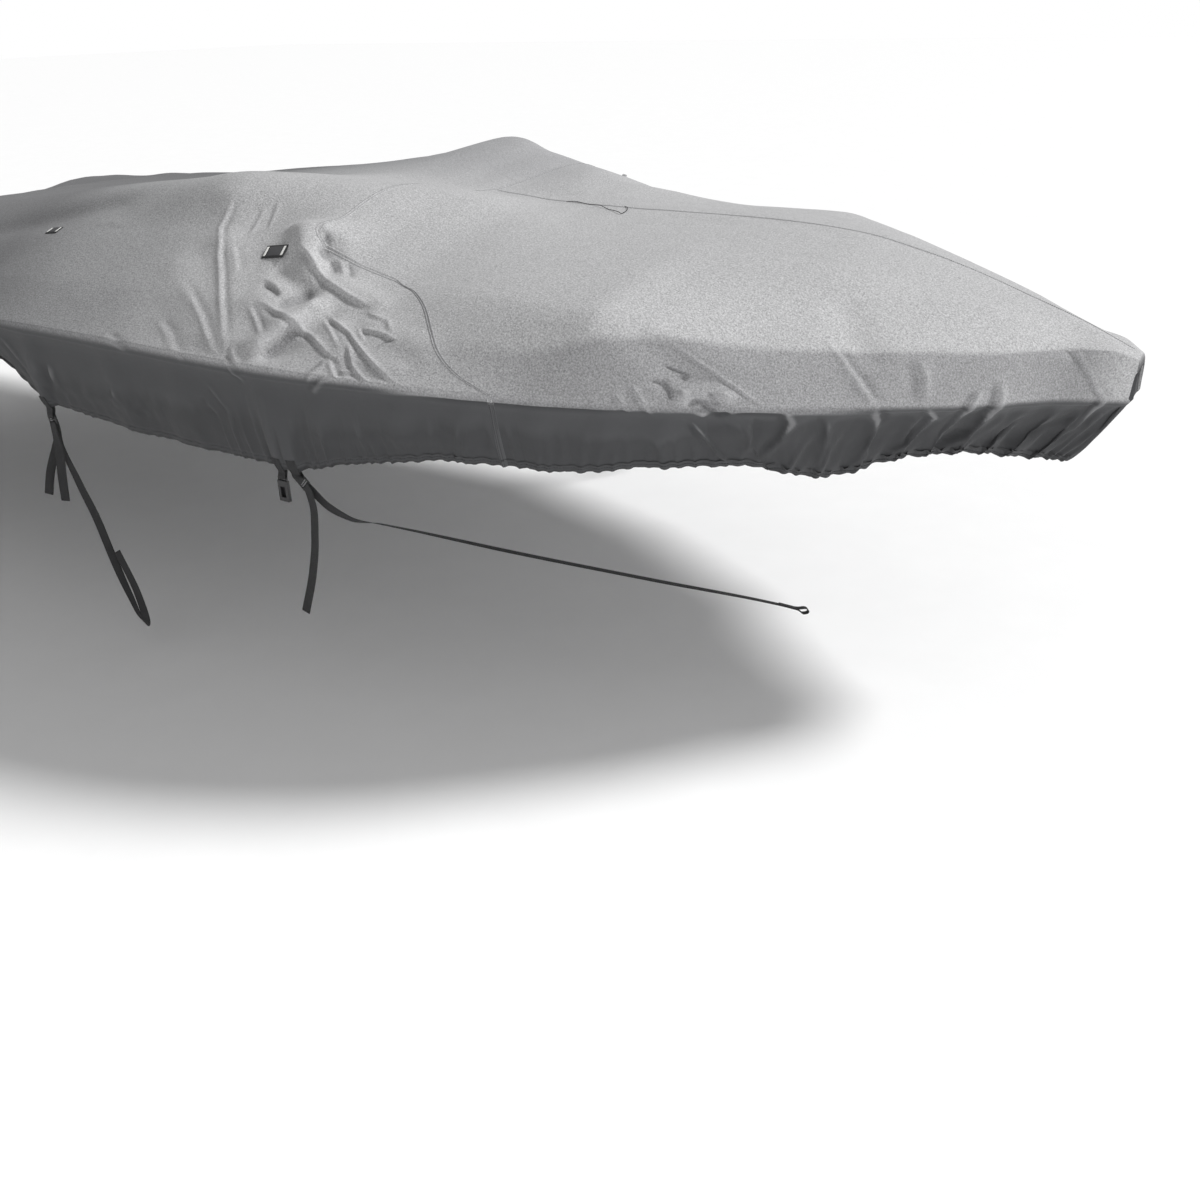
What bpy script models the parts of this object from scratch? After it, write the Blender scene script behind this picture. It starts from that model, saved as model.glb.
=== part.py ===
# Fitted cover for a small open boat: two fore panels and an aft panel of coated
# cloth with an elastic hem, webbing patches, and tie-down straps with their fittings.
# The cover is hollow and hangs from the point where its top is carried.
# +X to the bow, +Y to port, +Z up; the origin is under the top, on the centreline.

import math

import bpy
import numpy as np
from mathutils import Vector
from mathutils.bvhtree import BVHTree

# ---- driving dimensions, metres; "aft" is measured back from the bow tip ----
COVER_LENGTH = 5.40       # bow tip to transom
MOUNT_AFT = 2.20          # where the top is carried
CLOTH = 0.0024            # thickness of the cloth
SEAM_GAP = 0.0003         # between two panels that are sewn edge to edge
HEM_BEAD = 0.0055         # thickness of the rolled hem with its elastic
HEM_TUCK = 0.045          # how far the elastic draws the hem in under the rub rail
STEM_RAKE = 0.12          # how far aft the hem lies at the stem
STEM_RAKE_REACH = 0.50    # where that ends, aft of the tip
SEAM_AFT = 1.90           # the cross seam over the top
SEAM_TURN = 1.63          # and where it leaves the shoulder to go down the side

# Table of offsets: the draped cloth at each section of the boat.
# half and rub: half-breadth and height at the rub rail; hem: height of the hem;
# shoulder, crest, mid: the cloth between the rub rail and the centreline;
# shoulder_drop, crest_drop: how much lower they hang on the port side.
OFFSETS_COLUMNS = ("aft", "half", "rub", "hem", "shoulder_y", "shoulder_z",
                   "crest_y", "crest_z", "shoulder_drop", "crest_drop", "mid_z")
OFFSETS = (
    (0.000, 0.045, 0.000, -0.170, 0.036, 0.092, 0.020, 0.098, 0.000, 0.000, 0.100),
    (0.060, 0.095, 0.007, -0.163, 0.075, 0.118, 0.042, 0.124, 0.000, 0.000, 0.127),
    (0.145, 0.165, 0.016, -0.150, 0.125, 0.122, 0.070, 0.145, 0.000, 0.005, 0.165),
    (0.280, 0.335, 0.029, -0.120, 0.275, 0.132, 0.140, 0.196, 0.000, 0.012, 0.214),
    (0.420, 0.474, 0.043, -0.115, 0.405, 0.150, 0.200, 0.240, 0.005, 0.020, 0.262),
    (0.560, 0.600, 0.056, -0.145, 0.520, 0.162, 0.260, 0.278, 0.005, 0.025, 0.302),
    (0.720, 0.735, 0.070, -0.100, 0.645, 0.180, 0.310, 0.310, 0.005, 0.020, 0.335),
    (0.930, 0.878, 0.086, -0.090, 0.790, 0.235, 0.350, 0.332, 0.020, 0.012, 0.352),
    (1.050, 0.942, 0.095, -0.100, 0.830, 0.270, 0.370, 0.340, 0.030, 0.022, 0.356),
    (1.320, 1.055, 0.112, -0.085, 0.810, 0.285, 0.360, 0.345, 0.040, 0.018, 0.358),
    (1.600, 1.128, 0.127, -0.115, 0.785, 0.275, 0.300, 0.375, 0.012, 0.000, 0.362),
    (1.750, 1.151, 0.133, -0.140, 0.780, 0.300, 0.330, 0.420, 0.012, 0.010, 0.372),
    (1.920, 1.167, 0.139, -0.135, 0.790, 0.355, 0.460, 0.455, 0.045, 0.042, 0.388),
    (2.100, 1.174, 0.145, -0.130, 0.815, 0.352, 0.550, 0.475, 0.015, 0.038, 0.405),
    (2.290, 1.176, 0.149, -0.125, 0.840, 0.365, 0.630, 0.492, 0.000, 0.022, 0.420),
    (2.480, 1.176, 0.151, -0.110, 0.860, 0.355, 0.630, 0.466, 0.000, 0.042, 0.410),
    (2.680, 1.176, 0.152, -0.088, 0.870, 0.345, 0.630, 0.448, 0.000, 0.060, 0.400),
    (2.900, 1.176, 0.151, 0.020, 0.880, 0.330, 0.630, 0.422, 0.000, 0.062, 0.388),
    (3.300, 1.172, 0.146, 0.010, 0.880, 0.300, 0.600, 0.372, 0.000, 0.045, 0.355),
    (3.800, 1.160, 0.128, -0.035, 0.870, 0.260, 0.560, 0.318, 0.000, 0.036, 0.320),
    (4.050, 1.155, 0.114, -0.050, 0.870, 0.235, 0.560, 0.290, 0.000, 0.022, 0.286),
    (4.300, 1.148, 0.099, -0.060, 0.870, 0.215, 0.580, 0.262, 0.000, 0.010, 0.232),
    (4.550, 1.140, 0.080, -0.078, 0.870, 0.192, 0.610, 0.243, 0.000, 0.000, 0.186),
    (4.780, 1.130, 0.062, -0.090, 0.880, 0.165, 0.640, 0.218, 0.000, 0.000, 0.152),
    (5.080, 1.115, 0.034, -0.120, 0.900, 0.110, 0.660, 0.142, 0.000, 0.000, 0.116),
    (5.300, 1.085, 0.011, -0.155, 0.900, 0.072, 0.660, 0.090, 0.000, 0.000, 0.086),
    (5.400, 1.000, 0.000, -0.175, 0.880, 0.055, 0.620, 0.066, 0.000, 0.000, 0.070),
)

# How far forward the cloth's cross lines sweep as they go down to the rub rail.
SWEEP_COLUMNS = ("line", "sweep")
SWEEP = (
    (0.00, 0.00), (0.30, 0.05), (0.87, 0.18), (1.30, 0.32), (1.63, 0.42),
    (1.90, 0.42), (2.30, 0.32), (2.80, 0.18), (3.30, 0.08), (4.00, 0.00), (5.40, 0.00),
)

# How much of that sweep each place across the cloth has.
SHARE_COLUMNS = ("v", "share")
SWEEP_SHARES = (
    (0.000, 0.00), (0.555, 0.00), (0.575, 0.17), (0.610, 0.36), (0.655, 0.52),
    (0.690, 0.64), (0.720, 0.79), (0.750, 1.00),
)

# Across the cloth: 0 on the centreline, 1 at the hem; negative to starboard.
CREST_V = 0.30
SHOULDER_V = 0.555
RUB_V = 0.75
METRES_PER_V = 1.70       # width of cloth for one unit across

# Folds and bumps of the top and sides: where each starts and ends, in metres aft
# and in units across, how wide it is and how far it stands out (or in, below 0).
FOLD_COLUMNS = ("aft_a", "v_a", "aft_b", "v_b", "width", "height")
FOLDS = (
    (1.915, -0.540, 1.915, -0.540, 0.075, 0.034),
    (1.865, -0.555, 1.820, -0.585, 0.035, -0.020),
    (1.980, -0.530, 1.860, -0.592, 0.034, 0.012),
    (1.850, -0.596, 1.620, -0.612, 0.034, 0.012),
    (1.920, -0.610, 1.820, -0.632, 0.034, -0.018),
    (1.835, -0.735, 1.770, -0.652, 0.034, 0.022),
    (1.780, -0.735, 1.725, -0.660, 0.034, -0.018),
    (1.750, -0.650, 1.450, -0.730, 0.034, 0.010),
    (1.930, -0.667, 1.620, -0.705, 0.030, 0.008),
    (1.580, -0.650, 1.400, -0.690, 0.040, 0.008),
    (2.240, -0.430, 2.180, -0.570, 0.050, 0.007),
    (2.180, -0.570, 1.900, -0.730, 0.045, 0.008),
    (2.250, -0.630, 1.950, -0.740, 0.045, 0.007),
    (0.600, -0.420, 0.500, -0.600, 0.035, -0.006),
    (0.140, -0.560, 0.060, -0.730, 0.025, -0.005),
    (0.790, -0.725, 0.790, -0.725, 0.060, 0.018),
    (0.900, -0.600, 0.830, -0.670, 0.060, -0.010),
    (1.900, 0.545, 1.900, 0.545, 0.075, 0.010),
    (1.700, 0.600, 1.500, 0.680, 0.050, 0.010),
    (0.750, 0.690, 0.700, 0.620, 0.050, 0.010),
    (2.700, -0.450, 3.300, -0.600, 0.080, -0.010),
    (3.600, 0.150, 4.200, 0.420, 0.110, 0.010),
    (3.500, -0.420, 4.500, -0.250, 0.120, -0.010),
    (4.600, -0.150, 5.250, -0.100, 0.100, 0.012),
    (4.700, 0.200, 5.250, 0.260, 0.090, -0.010),
)

# Pleats of the skirt: place at the rub rail, how far aft the pleat runs on its
# way down, its width and its height; the port side has them a little shifted.
PLEAT_COLUMNS = ("aft", "run", "width", "height")
PLEATS = (
    (0.055, 0.060, 0.016, 0.011), (0.115, 0.075, 0.020, 0.013),
    (0.180, 0.070, 0.018, 0.011), (0.245, 0.065, 0.022, 0.015),
    (0.320, 0.055, 0.020, 0.012), (0.385, 0.050, 0.022, 0.014),
    (0.460, 0.045, 0.024, 0.016), (0.540, 0.040, 0.022, 0.012),
    (0.615, 0.020, 0.026, 0.014), (0.740, -0.060, 0.020, 0.016),
    (0.860, 0.010, 0.030, 0.012), (0.980, 0.000, 0.028, 0.010),
    (1.120, 0.010, 0.034, 0.011), (1.270, 0.020, 0.032, 0.009),
    (1.430, 0.010, 0.040, 0.012), (1.620, 0.050, 0.038, 0.010),
    (1.800, -0.030, 0.045, 0.013), (2.060, 0.030, 0.050, 0.009),
    (2.330, -0.020, 0.050, 0.008), (2.640, 0.030, 0.045, 0.012),
    (2.960, -0.050, 0.060, 0.010), (3.400, 0.060, 0.070, 0.009),
    (3.900, 0.020, 0.080, 0.011), (4.450, -0.030, 0.080, 0.009),
    (4.950, 0.020, 0.070, 0.010), (5.250, 0.000, 0.050, 0.008),
)
PORT_SHIFT = 0.03

# How the skirt stands off the line from rub rail to hem: over the rail, then under it.
SKIRT_COLUMNS = ("down", "out")
SKIRT_PROFILE = (
    (0.00, 0.000), (0.11, 0.006), (0.22, -0.007), (0.50, 0.002),
    (0.80, 0.008), (0.94, 0.005), (1.00, 0.000),
)


def table(columns, rows):
    values = np.array(rows, float)
    return {name: values[:, i] for i, name in enumerate(columns)}


OFFSET = table(OFFSETS_COLUMNS, OFFSETS)
SWEEPS = table(SWEEP_COLUMNS, SWEEP)
SHARES = table(SHARE_COLUMNS, SWEEP_SHARES)
FOLD = table(FOLD_COLUMNS, FOLDS)
PLEAT = table(PLEAT_COLUMNS, PLEATS)
SKIRT = table(SKIRT_COLUMNS, SKIRT_PROFILE)


# ---- smooth curves through the tables ----

def smooth(x, stops, values):
    """Monotone cubic through stops; values has a column for each x, or one for all."""
    x = np.asarray(x, float)
    values = np.asarray(values, float)
    if values.ndim == 1:
        values = np.repeat(values[:, None], len(x), 1)
    step = np.diff(stops)[:, None]
    slope = np.diff(values, axis=0) / step
    tangent = np.zeros_like(values)
    tangent[0] = slope[0]
    tangent[-1] = slope[-1]
    product = slope[:-1] * slope[1:]
    total = slope[:-1] + slope[1:]
    safe = np.where(product > 0, total, 1.0)
    tangent[1:-1] = np.where(product > 0, 2 * product / safe, 0.0)
    i = np.clip(np.searchsorted(stops, x) - 1, 0, len(stops) - 2)
    n = np.arange(len(x))
    h = step[i, 0]
    t = np.clip((x - stops[i]) / h, 0.0, 1.0)
    low, high = values[i, n], values[i + 1, n]
    m0, m1 = tangent[i, n] * h, tangent[i + 1, n] * h
    return (low * (1 + 2 * t) * (1 - t) ** 2 + m0 * t * (1 - t) ** 2
            + high * t * t * (3 - 2 * t) + m1 * t * t * (t - 1))


def offset(name, aft):
    return smooth(aft, OFFSET["aft"], OFFSET[name])


def ease(t):
    t = np.clip(t, 0.0, 1.0)
    return t * t * (3 - 2 * t)


def swept(line, v):
    """Where a cross line of the cloth lies, aft of the tip, at a place across it."""
    sweep = smooth(line, SWEEPS["line"], SWEEPS["sweep"])
    return line - sweep * smooth(np.abs(v), SHARES["v"], SHARES["share"])


# ---- the draped surface ----

def section(aft, v):
    """Points of the top and sides, from rub rail to rub rail, before the folds."""
    zero = np.zeros_like(aft)
    cr_drop, sh_drop = offset("crest_drop", aft), offset("shoulder_drop", aft)
    half, rub = offset("half", aft), offset("rub", aft)
    sh_y, sh_z = offset("shoulder_y", aft), offset("shoulder_z", aft)
    cr_y, cr_z = offset("crest_y", aft), offset("crest_z", aft)
    stops = np.array([-RUB_V, -SHOULDER_V, -CREST_V, 0.0, CREST_V, SHOULDER_V, RUB_V])
    y = smooth(v, stops, np.stack([-half, -sh_y, -cr_y, zero, cr_y, sh_y, half]))
    z = smooth(v, stops, np.stack([rub, sh_z, cr_z, offset("mid_z", aft),
                                   cr_z - cr_drop, sh_z - sh_drop, rub]))
    return np.stack([-aft, y, z], 1)


def fold_height(aft, v):
    """How far the folds stand out of the section at each point."""
    height = np.zeros_like(aft)
    p = np.stack([aft, v * METRES_PER_V], 1)
    for a0, v0, a1, v1, width, rise in FOLDS:
        a = np.array([a0, v0 * METRES_PER_V])
        b = np.array([a1, v1 * METRES_PER_V])
        along = b - a
        span = max(float(along @ along), 1e-9)
        t = np.clip((p - a) @ along / span, 0.0, 1.0)
        away = np.linalg.norm(p - a - t[:, None] * along, axis=1)
        height += rise * np.exp(-(away / width) ** 2)
    return height


def top_points(aft, v):
    """The top and sides with their folds, moved out along the surface's normal."""
    step = 0.004
    centre = section(aft, v)
    ahead = section(aft + step, v) - section(aft - step, v)
    across = section(aft, v + step) - section(aft, v - step)
    normal = np.cross(across, ahead)
    size = np.linalg.norm(normal, axis=1, keepdims=True)
    normal = normal / np.maximum(size, 1e-9)
    normal[normal[:, 2] < 0] *= -1
    edge = ease((RUB_V - np.abs(v)) / 0.03)
    ends = ease(aft / 0.1) * ease((COVER_LENGTH - aft) / 0.1)
    return centre + normal * (fold_height(aft, v) * edge * ends)[:, None]


def pleat_height(aft, down, side):
    """How far the skirt's pleats stand out; down is 0 at the rub rail, 1 at the hem."""
    height = np.zeros_like(aft)
    shift = PORT_SHIFT if side > 0 else 0.0
    for place, run, width, rise in PLEATS:
        away = aft - (place + shift + run * down)
        height += rise * (np.exp(-(away / width) ** 2) - 0.3 * np.exp(-(away / (2.2 * width)) ** 2))
    return height * ease(down / 0.35)


def skirt_points(rub_point, aft, down, side):
    """The skirt under a rub-rail point, drawn in and pleated."""
    rake = STEM_RAKE * np.clip(1 - aft / STEM_RAKE_REACH, 0, 1) ** 2
    rake = rake - 0.05 * ease((aft - COVER_LENGTH + 0.25) / 0.25)
    foot_aft = aft + rake
    half = offset("half", foot_aft) - HEM_TUCK
    foot = np.stack([-foot_aft, side * half, offset("hem", aft)], 1)
    d = down[:, None]
    hang = rub_point * (1 - d) + foot * d
    slope = (offset("half", aft + 0.01) - offset("half", aft - 0.01)) / 0.02
    slope = np.clip(slope, -1.2, 1.6)
    out = np.stack([slope, side * np.ones_like(slope), np.zeros_like(slope)], 1)
    out /= np.linalg.norm(out, axis=1, keepdims=True)
    stand = smooth(down, SKIRT["down"], SKIRT["out"]) + pleat_height(aft, down, side)
    return hang + out * stand[:, None]


def placed(points):
    """From the table's frame to the part's: the origin under the top at the mount."""
    carried = offset("mid_z", np.array([MOUNT_AFT]))[0] - CLOTH
    return np.asarray(points) + np.array([MOUNT_AFT, 0.0, -carried])


# ---- meshes ----

TOP_V = (0.0, 0.11, 0.22, 0.33, 0.43, 0.50, SHOULDER_V, 0.60, 0.65, 0.70, RUB_V)
SKIRT_DOWN = (0.11, 0.24, 0.54, 0.87, 1.0)
BEAD_FROM = 0.85
PANEL_GAP = 0.0005        # half the gap left at the cross seam, measured aft
PANEL_GAP_V = 0.0003      # and measured across


def cloth(line, across):
    """Point of the outer surface: across is v on the top, and past it down the skirt."""
    line, across = np.broadcast_arrays(np.asarray(line, float), np.asarray(across, float))
    side = np.where(across < 0, -1.0, 1.0)
    v = np.clip(across, -RUB_V, RUB_V)
    down = np.clip((np.abs(across) - RUB_V) / (1.0 - RUB_V), 0.0, 1.0)
    aft = swept(line, v)
    points = top_points(aft, v)
    for way in (-1.0, 1.0):
        low = (down > 0) & (side == way)
        if low.any():
            points[low] = skirt_points(points[low], aft[low], down[low], way)
    return points


def normals(line, across):
    """Outward unit normals; at the rub rail, between the top's and the skirt's."""
    step = 0.004
    line, across = np.broadcast_arrays(np.asarray(line, float), np.asarray(across, float))
    ahead = cloth(line + step, across) - cloth(line - step, across)
    beyond = np.where(np.abs(across) > 1.0 - step, 0.0, step)
    before = np.where(np.abs(across) > 1.0 - step, 2 * step, step)
    sign = np.where(across < 0, -1.0, 1.0)
    out = cloth(line, across + sign * beyond) - cloth(line, across - sign * before)
    normal = np.cross(out, ahead) * sign[:, None]
    return normal / np.maximum(np.linalg.norm(normal, axis=1, keepdims=True), 1e-9)


def thickness(across):
    return np.where((np.abs(across) - RUB_V) / (1.0 - RUB_V) > BEAD_FROM, HEM_BEAD, CLOTH)


def unit(vector):
    return vector / np.linalg.norm(vector)


def seam_line(v):
    """The cross line the seam runs on: one over the top, another down the side."""
    return SEAM_AFT if abs(v) < SHOULDER_V else SEAM_TURN


def beside_seam(line, across, way):
    """Moves a point that lies on the cross seam half the gap to its own panel's side."""
    near = 1e-6
    v = abs(across)
    over_top = abs(line - SEAM_AFT) < near and v < SHOULDER_V + near
    down_side = abs(line - SEAM_TURN) < near and v > SHOULDER_V - near
    on_shoulder = abs(v - SHOULDER_V) < near and SEAM_TURN - near < line < SEAM_AFT + near
    if over_top or down_side:
        line += way * PANEL_GAP
    if on_shoulder:
        across += way * math.copysign(PANEL_GAP_V, across)
    return line, across


class Sheet:
    """Collects one panel: where its points lie on the cloth, extra points and faces."""

    def __init__(self, way):
        self.way = way
        self.index = {}
        self.places = []
        self.extra = []
        self.faces = []

    def at(self, line, across):
        key = (round(line, 6), round(across, 6))
        if key not in self.index:
            self.index[key] = len(self.places)
            self.places.append(beside_seam(line, across, self.way))
        return self.index[key]

    def skins(self, shift):
        """Outer and inner points of every place, moved sideways off the centre seam."""
        line = np.array([place[0] for place in self.places])
        across = np.array([place[1] for place in self.places])
        outer = cloth(line, across)
        outer[:, 1] += shift * (np.abs(across) < 1e-9)
        inner = outer - normals(line, across) * thickness(across)[:, None]
        return outer, inner


def triangles(points, face):
    """A face's triangles: a quad splits on its shorter diagonal, others from their first."""
    a, b, c, d = face[:4] if len(face) > 3 else face + [face[0]]
    if len(face) == 4 and np.linalg.norm(points[b] - points[d]) < np.linalg.norm(points[a] - points[c]):
        return [[a, b, d], [b, c, d]]
    return [[face[0], face[i], face[i + 1]] for i in range(1, len(face) - 1)]


def solid(name, outer, inner, faces, colour, roughness):
    """A closed body between an outer and an inner skin with the same faces."""
    count = len(outer)
    faces = [corner for face in faces for corner in triangles(outer, face)]
    edges = {}
    for face in faces:
        for a, b in zip(face, face[1:] + face[:1]):
            edges[(a, b)] = True
    walls = [(a, a + count, b + count, b) for a, b in edges if (b, a) not in edges]
    back = [tuple(reversed([i + count for i in face])) for face in faces]
    vertices = [tuple(p) for p in placed(np.concatenate([outer, inner]))]
    mesh = bpy.data.meshes.new(name)
    mesh.from_pydata(vertices, [], [tuple(f) for f in faces] + back + walls)
    mesh.update()
    mesh.polygons.foreach_set("use_smooth", [True] * len(mesh.polygons))
    body = bpy.data.objects.new(name, mesh)
    bpy.context.scene.collection.objects.link(body)
    mesh.materials.append(surface_material(name, colour, roughness))
    return body


def surface_material(name, colour, roughness):
    material = bpy.data.materials.new(name + " surface")
    material.use_nodes = True
    shader = material.node_tree.nodes["Principled BSDF"]
    shader.inputs["Base Color"].default_value = (*colour, 1.0)
    shader.inputs["Roughness"].default_value = roughness
    return material


def end_rows(first, second, steps, bow):
    """Points of the nose or the transom, from the top's end down to the hem."""
    rows = []
    for down in steps:
        stand = float(smooth(np.array([down]), SKIRT["down"], SKIRT["out"])[0])
        if bow:
            z = first[:, 2] * (1 - down) + second[:, 2] * down
            reach = np.clip(-z / -second[:, 2], 0.0, 1.0)
            x = -STEM_RAKE * reach + 0.006 * np.clip(z / 0.1, 0, 1) * down + stand
            y = first[:, 1] * (1 - down) + second[:, 1] * down
            rows.append(np.stack([x, y, z], 1))
        else:
            row = first * (1 - down) + second * down
            row[:, 0] -= stand + 0.010 * math.sin(math.pi * down)
            rows.append(row)
    return rows


def panel(name, lines, side, shift):
    """One panel: its cells of the top, its skirt and the nose or the transom.

    side is -1 or 1 for the fore panels, and 0 for the aft panel, which has both.
    """
    fore = side != 0
    sheet = Sheet(-1 if fore else 1)
    half = np.array(TOP_V)
    columns = {-1: -half[::-1], 1: half, 0: np.concatenate([-half[::-1][:-1], half])}[side]
    for a, b in zip(lines[:-1], lines[1:]):
        for v, w in zip(columns[:-1], columns[1:]):
            if ((a + b) / 2 < seam_line((v + w) / 2)) != fore:
                continue
            face = [sheet.at(a, v), sheet.at(a, w), sheet.at(b, w), sheet.at(b, v)]
            if abs(v + RUB_V) < 1e-6:
                face = [sheet.at((a + b) / 2, v)] + face
            if abs(w - RUB_V) < 1e-6:
                face = [sheet.at((a + b) / 2, w)] + face[2:] + face[:2]
            sheet.faces.append(face)
        if ((a + b) / 2 < SEAM_TURN) == fore:
            for way in (side,) if fore else (-1, 1):
                skirt_faces(sheet, a, (a + b) / 2, way)
                skirt_faces(sheet, (a + b) / 2, b, way)
    end_line = lines[0] if fore else lines[-1]
    outer, inner = sheet.skins(shift)
    outer, inner = close_end(sheet, outer, inner, end_line, columns, fore)
    return solid(name, outer, inner, sheet.faces, CLOTH_GREY, 0.85)


def skirt_faces(sheet, a, b, side):
    downs = (0.0,) + SKIRT_DOWN
    for up, down in zip(downs[:-1], downs[1:]):
        v, w = (side * (RUB_V + (1 - RUB_V) * k) for k in (up, down))
        face = [sheet.at(a, v), sheet.at(a, w), sheet.at(b, w), sheet.at(b, v)]
        sheet.faces.append(face if side > 0 else face[::-1])


def close_end(sheet, outer, inner, line, columns, bow):
    """Adds the nose or the transom between the last cross line and the hem."""
    edge_index = [sheet.at(line, v) for v in columns]
    edge = outer[edge_index]
    widest = float(np.abs(edge[:, 1]).max())
    share = edge[:, 1] / widest
    corner = outer[sheet.at(line, math.copysign(1.0, columns[0] + columns[-1] - 1e-9))]
    foot = np.repeat(corner[None], len(edge), 0)
    foot[:, 1] = abs(corner[1]) * share
    foot[:, 0] += (0.02 if bow else -0.01) * (1 - share ** 2)
    grid, more_outer, more_inner = [edge_index], [], []
    for down, row in zip(SKIRT_DOWN, end_rows(edge, foot, SKIRT_DOWN, bow)):
        thick = HEM_BEAD if down > BEAD_FROM else CLOTH
        indices = []
        for j, point in enumerate(row):
            if abs(abs(columns[j]) - RUB_V) < 1e-6:
                across = math.copysign(RUB_V + (1 - RUB_V) * down, columns[j])
                indices.append(sheet.at(line, across))
                continue
            lean = np.array([1.0 if bow else -1.0, 0.5 * share[j], -0.35 if bow else 0.0])
            indices.append(len(outer) + len(more_outer))
            more_outer.append(point)
            more_inner.append(point - unit(lean) * thick)
        grid.append(indices)
    for upper, lower in zip(grid[:-1], grid[1:]):
        for j in range(len(upper) - 1):
            face = [upper[j], upper[j + 1], lower[j + 1], lower[j]]
            sheet.faces.append(face[::-1] if bow else face)
    return np.concatenate([outer, more_outer]), np.concatenate([inner, more_inner])


def stations(first, last, steps):
    """Cross lines between two places, closer together where the table says so."""
    stops = np.array([row[0] for row in steps])
    gaps = np.array([row[1] for row in steps])
    lines = [first]
    while lines[-1] < last:
        lines.append(lines[-1] + float(np.interp(lines[-1], stops, gaps)))
    lines = np.array(lines)
    return first + (lines - first) * (last - first) / (lines[-1] - first)


# How far apart the cross lines are, at each place aft.
SPACING_COLUMNS = ("line", "gap")
SPACING = ((0.00, 0.034), (0.30, 0.046), (0.90, 0.058), (1.50, 0.070), (2.00, 0.058),
           (2.60, 0.085), (3.20, 0.120), (4.00, 0.150), (4.90, 0.120), (5.40, 0.080))

CLOTH_GREY = (0.36, 0.37, 0.39)
WEBBING_BLACK = (0.012, 0.012, 0.013)
PLASTIC_BLACK = (0.016, 0.016, 0.017)


# ---- straps, tabs and fittings ----

WEBBING_WIDTH = 0.025
WEBBING_THICK = 0.0016
STITCHED_GAP = 0.0007     # between two pieces that are sewn together
PATCH_GAP = 0.0004        # under a patch, above the highest of the facets it covers
HEM_SEAT = 0.988          # across the cloth, a little above the hem's edge
PAST_HEM = 0.018          # how far a tab keeps the skirt's slope from there
BAR_DEPTH = 0.003         # an adjuster's bars, from front to back
ADJUSTER_WIDTH = 0.033
TAB_UP = 0.030            # how far a tab reaches up the skirt on each side
LOOP_REACH = 0.0034       # from a bar's middle to the webbing that goes round it

# Adjuster, measured down from the middle of its top bar: bars and slots in turn.
ADJUSTER_CUTS = (-0.0015, 0.0015, 0.0075, 0.0105, 0.0165, 0.0205)
LOWER_BAR = 0.0185

# Buckle half, measured down from the middle of its bar.
BUCKLE_CUTS = (-0.0015, 0.0015, 0.0075, 0.0170, 0.0630)
BUCKLE_WIDTH, BUCKLE_DEPTH, BUCKLE_WALL = 0.032, 0.010, 0.0022

# Webbing patches on the shoulders: place, half sizes along and across the cloth.
PATCH_COLUMNS = ("name", "aft", "v", "half_long", "half_across")
PATCHES = (
    ("patch_starboard_fore", 1.970, -0.582, 0.039, 0.023),
    ("patch_starboard_aft", 2.850, -0.548, 0.024, 0.016),
    ("patch_port_fore", 2.020, 0.585, 0.039, 0.023),
    ("patch_port_aft", 2.850, 0.548, 0.024, 0.016),
)

# Tabs that straddle the hem: place, side, how far the tab hangs, and its lean
# forward in degrees as the strap pulls on it.
TAB_COLUMNS = ("name", "aft", "side", "drop", "lean")
TABS = (
    ("starboard_fore", 1.752, -1, 0.044, 47.0),
    ("starboard_buckle", 1.796, -1, 0.038, 0.0),
    ("starboard_aft", 2.664, -1, 0.046, 8.0),
    ("port_fore", 1.765, 1, 0.044, 0.0),
    ("port_aft", 2.655, 1, 0.046, 0.0),
)

# Straps from where they leave the adjuster: aft, y and z in the table's frame, and
# the turn of the flat face in degrees, 0 when it faces sideways out.
STRAP_COLUMNS = ("aft", "y", "z", "turn")
TAIL_STARBOARD_FORE = (
    (1.697, -1.118, -0.235, 0.0), (1.704, -1.121, -0.310, 0.0),
    (1.732, -1.117, -0.410, 2.0), (1.786, -1.110, -0.540, 6.0),
)
RUN_STARBOARD_FORE = (
    (1.660, -1.100, -0.222, 6.0), (1.600, -1.094, -0.243, 30.0),
    (1.540, -1.050, -0.262, 62.0), (1.260, -0.855, -0.360, 74.0),
    (0.980, -0.655, -0.455, 74.0), (0.712, -0.462, -0.545, 70.0),
    (0.672, -0.440, -0.558, 70.0),
)
TAIL_STARBOARD_AFT = (
    (2.668, -1.132, -0.225, 30.0), (2.690, -1.128, -0.310, 40.0),
    (2.710, -1.122, -0.392, 36.0),
)
RUN_STARBOARD_AFT = (
    (2.672, -1.118, -0.225, 4.0), (2.654, -1.104, -0.330, 6.0),
    (2.617, -1.097, -0.440, 8.0), (2.580, -1.095, -0.573, 12.0),
    (2.538, -1.096, -0.680, 20.0), (2.505, -1.100, -0.735, 24.0),
    (2.470, -1.114, -0.742, 24.0), (2.442, -1.128, -0.715, 24.0),
    (2.458, -1.126, -0.640, 18.0), (2.530, -1.114, -0.520, 12.0),
)
SHORT_END = (
    (2.718, -1.104, -0.235, 26.0), (2.756, -1.102, -0.320, 32.0),
    (2.790, -1.100, -0.398, 36.0),
)
# Where the short end is sewn behind its tab: out from the bar and down from it.
SHORT_END_SEWN = ((-0.0064, -0.004), (-0.0057, 0.003), (-0.0074, 0.018))
TAIL_PORT = (
    (0.000, 0.000, -0.060, 0.0), (0.004, 0.004, -0.170, 4.0), (0.010, 0.000, -0.300, 10.0),
)


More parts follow.
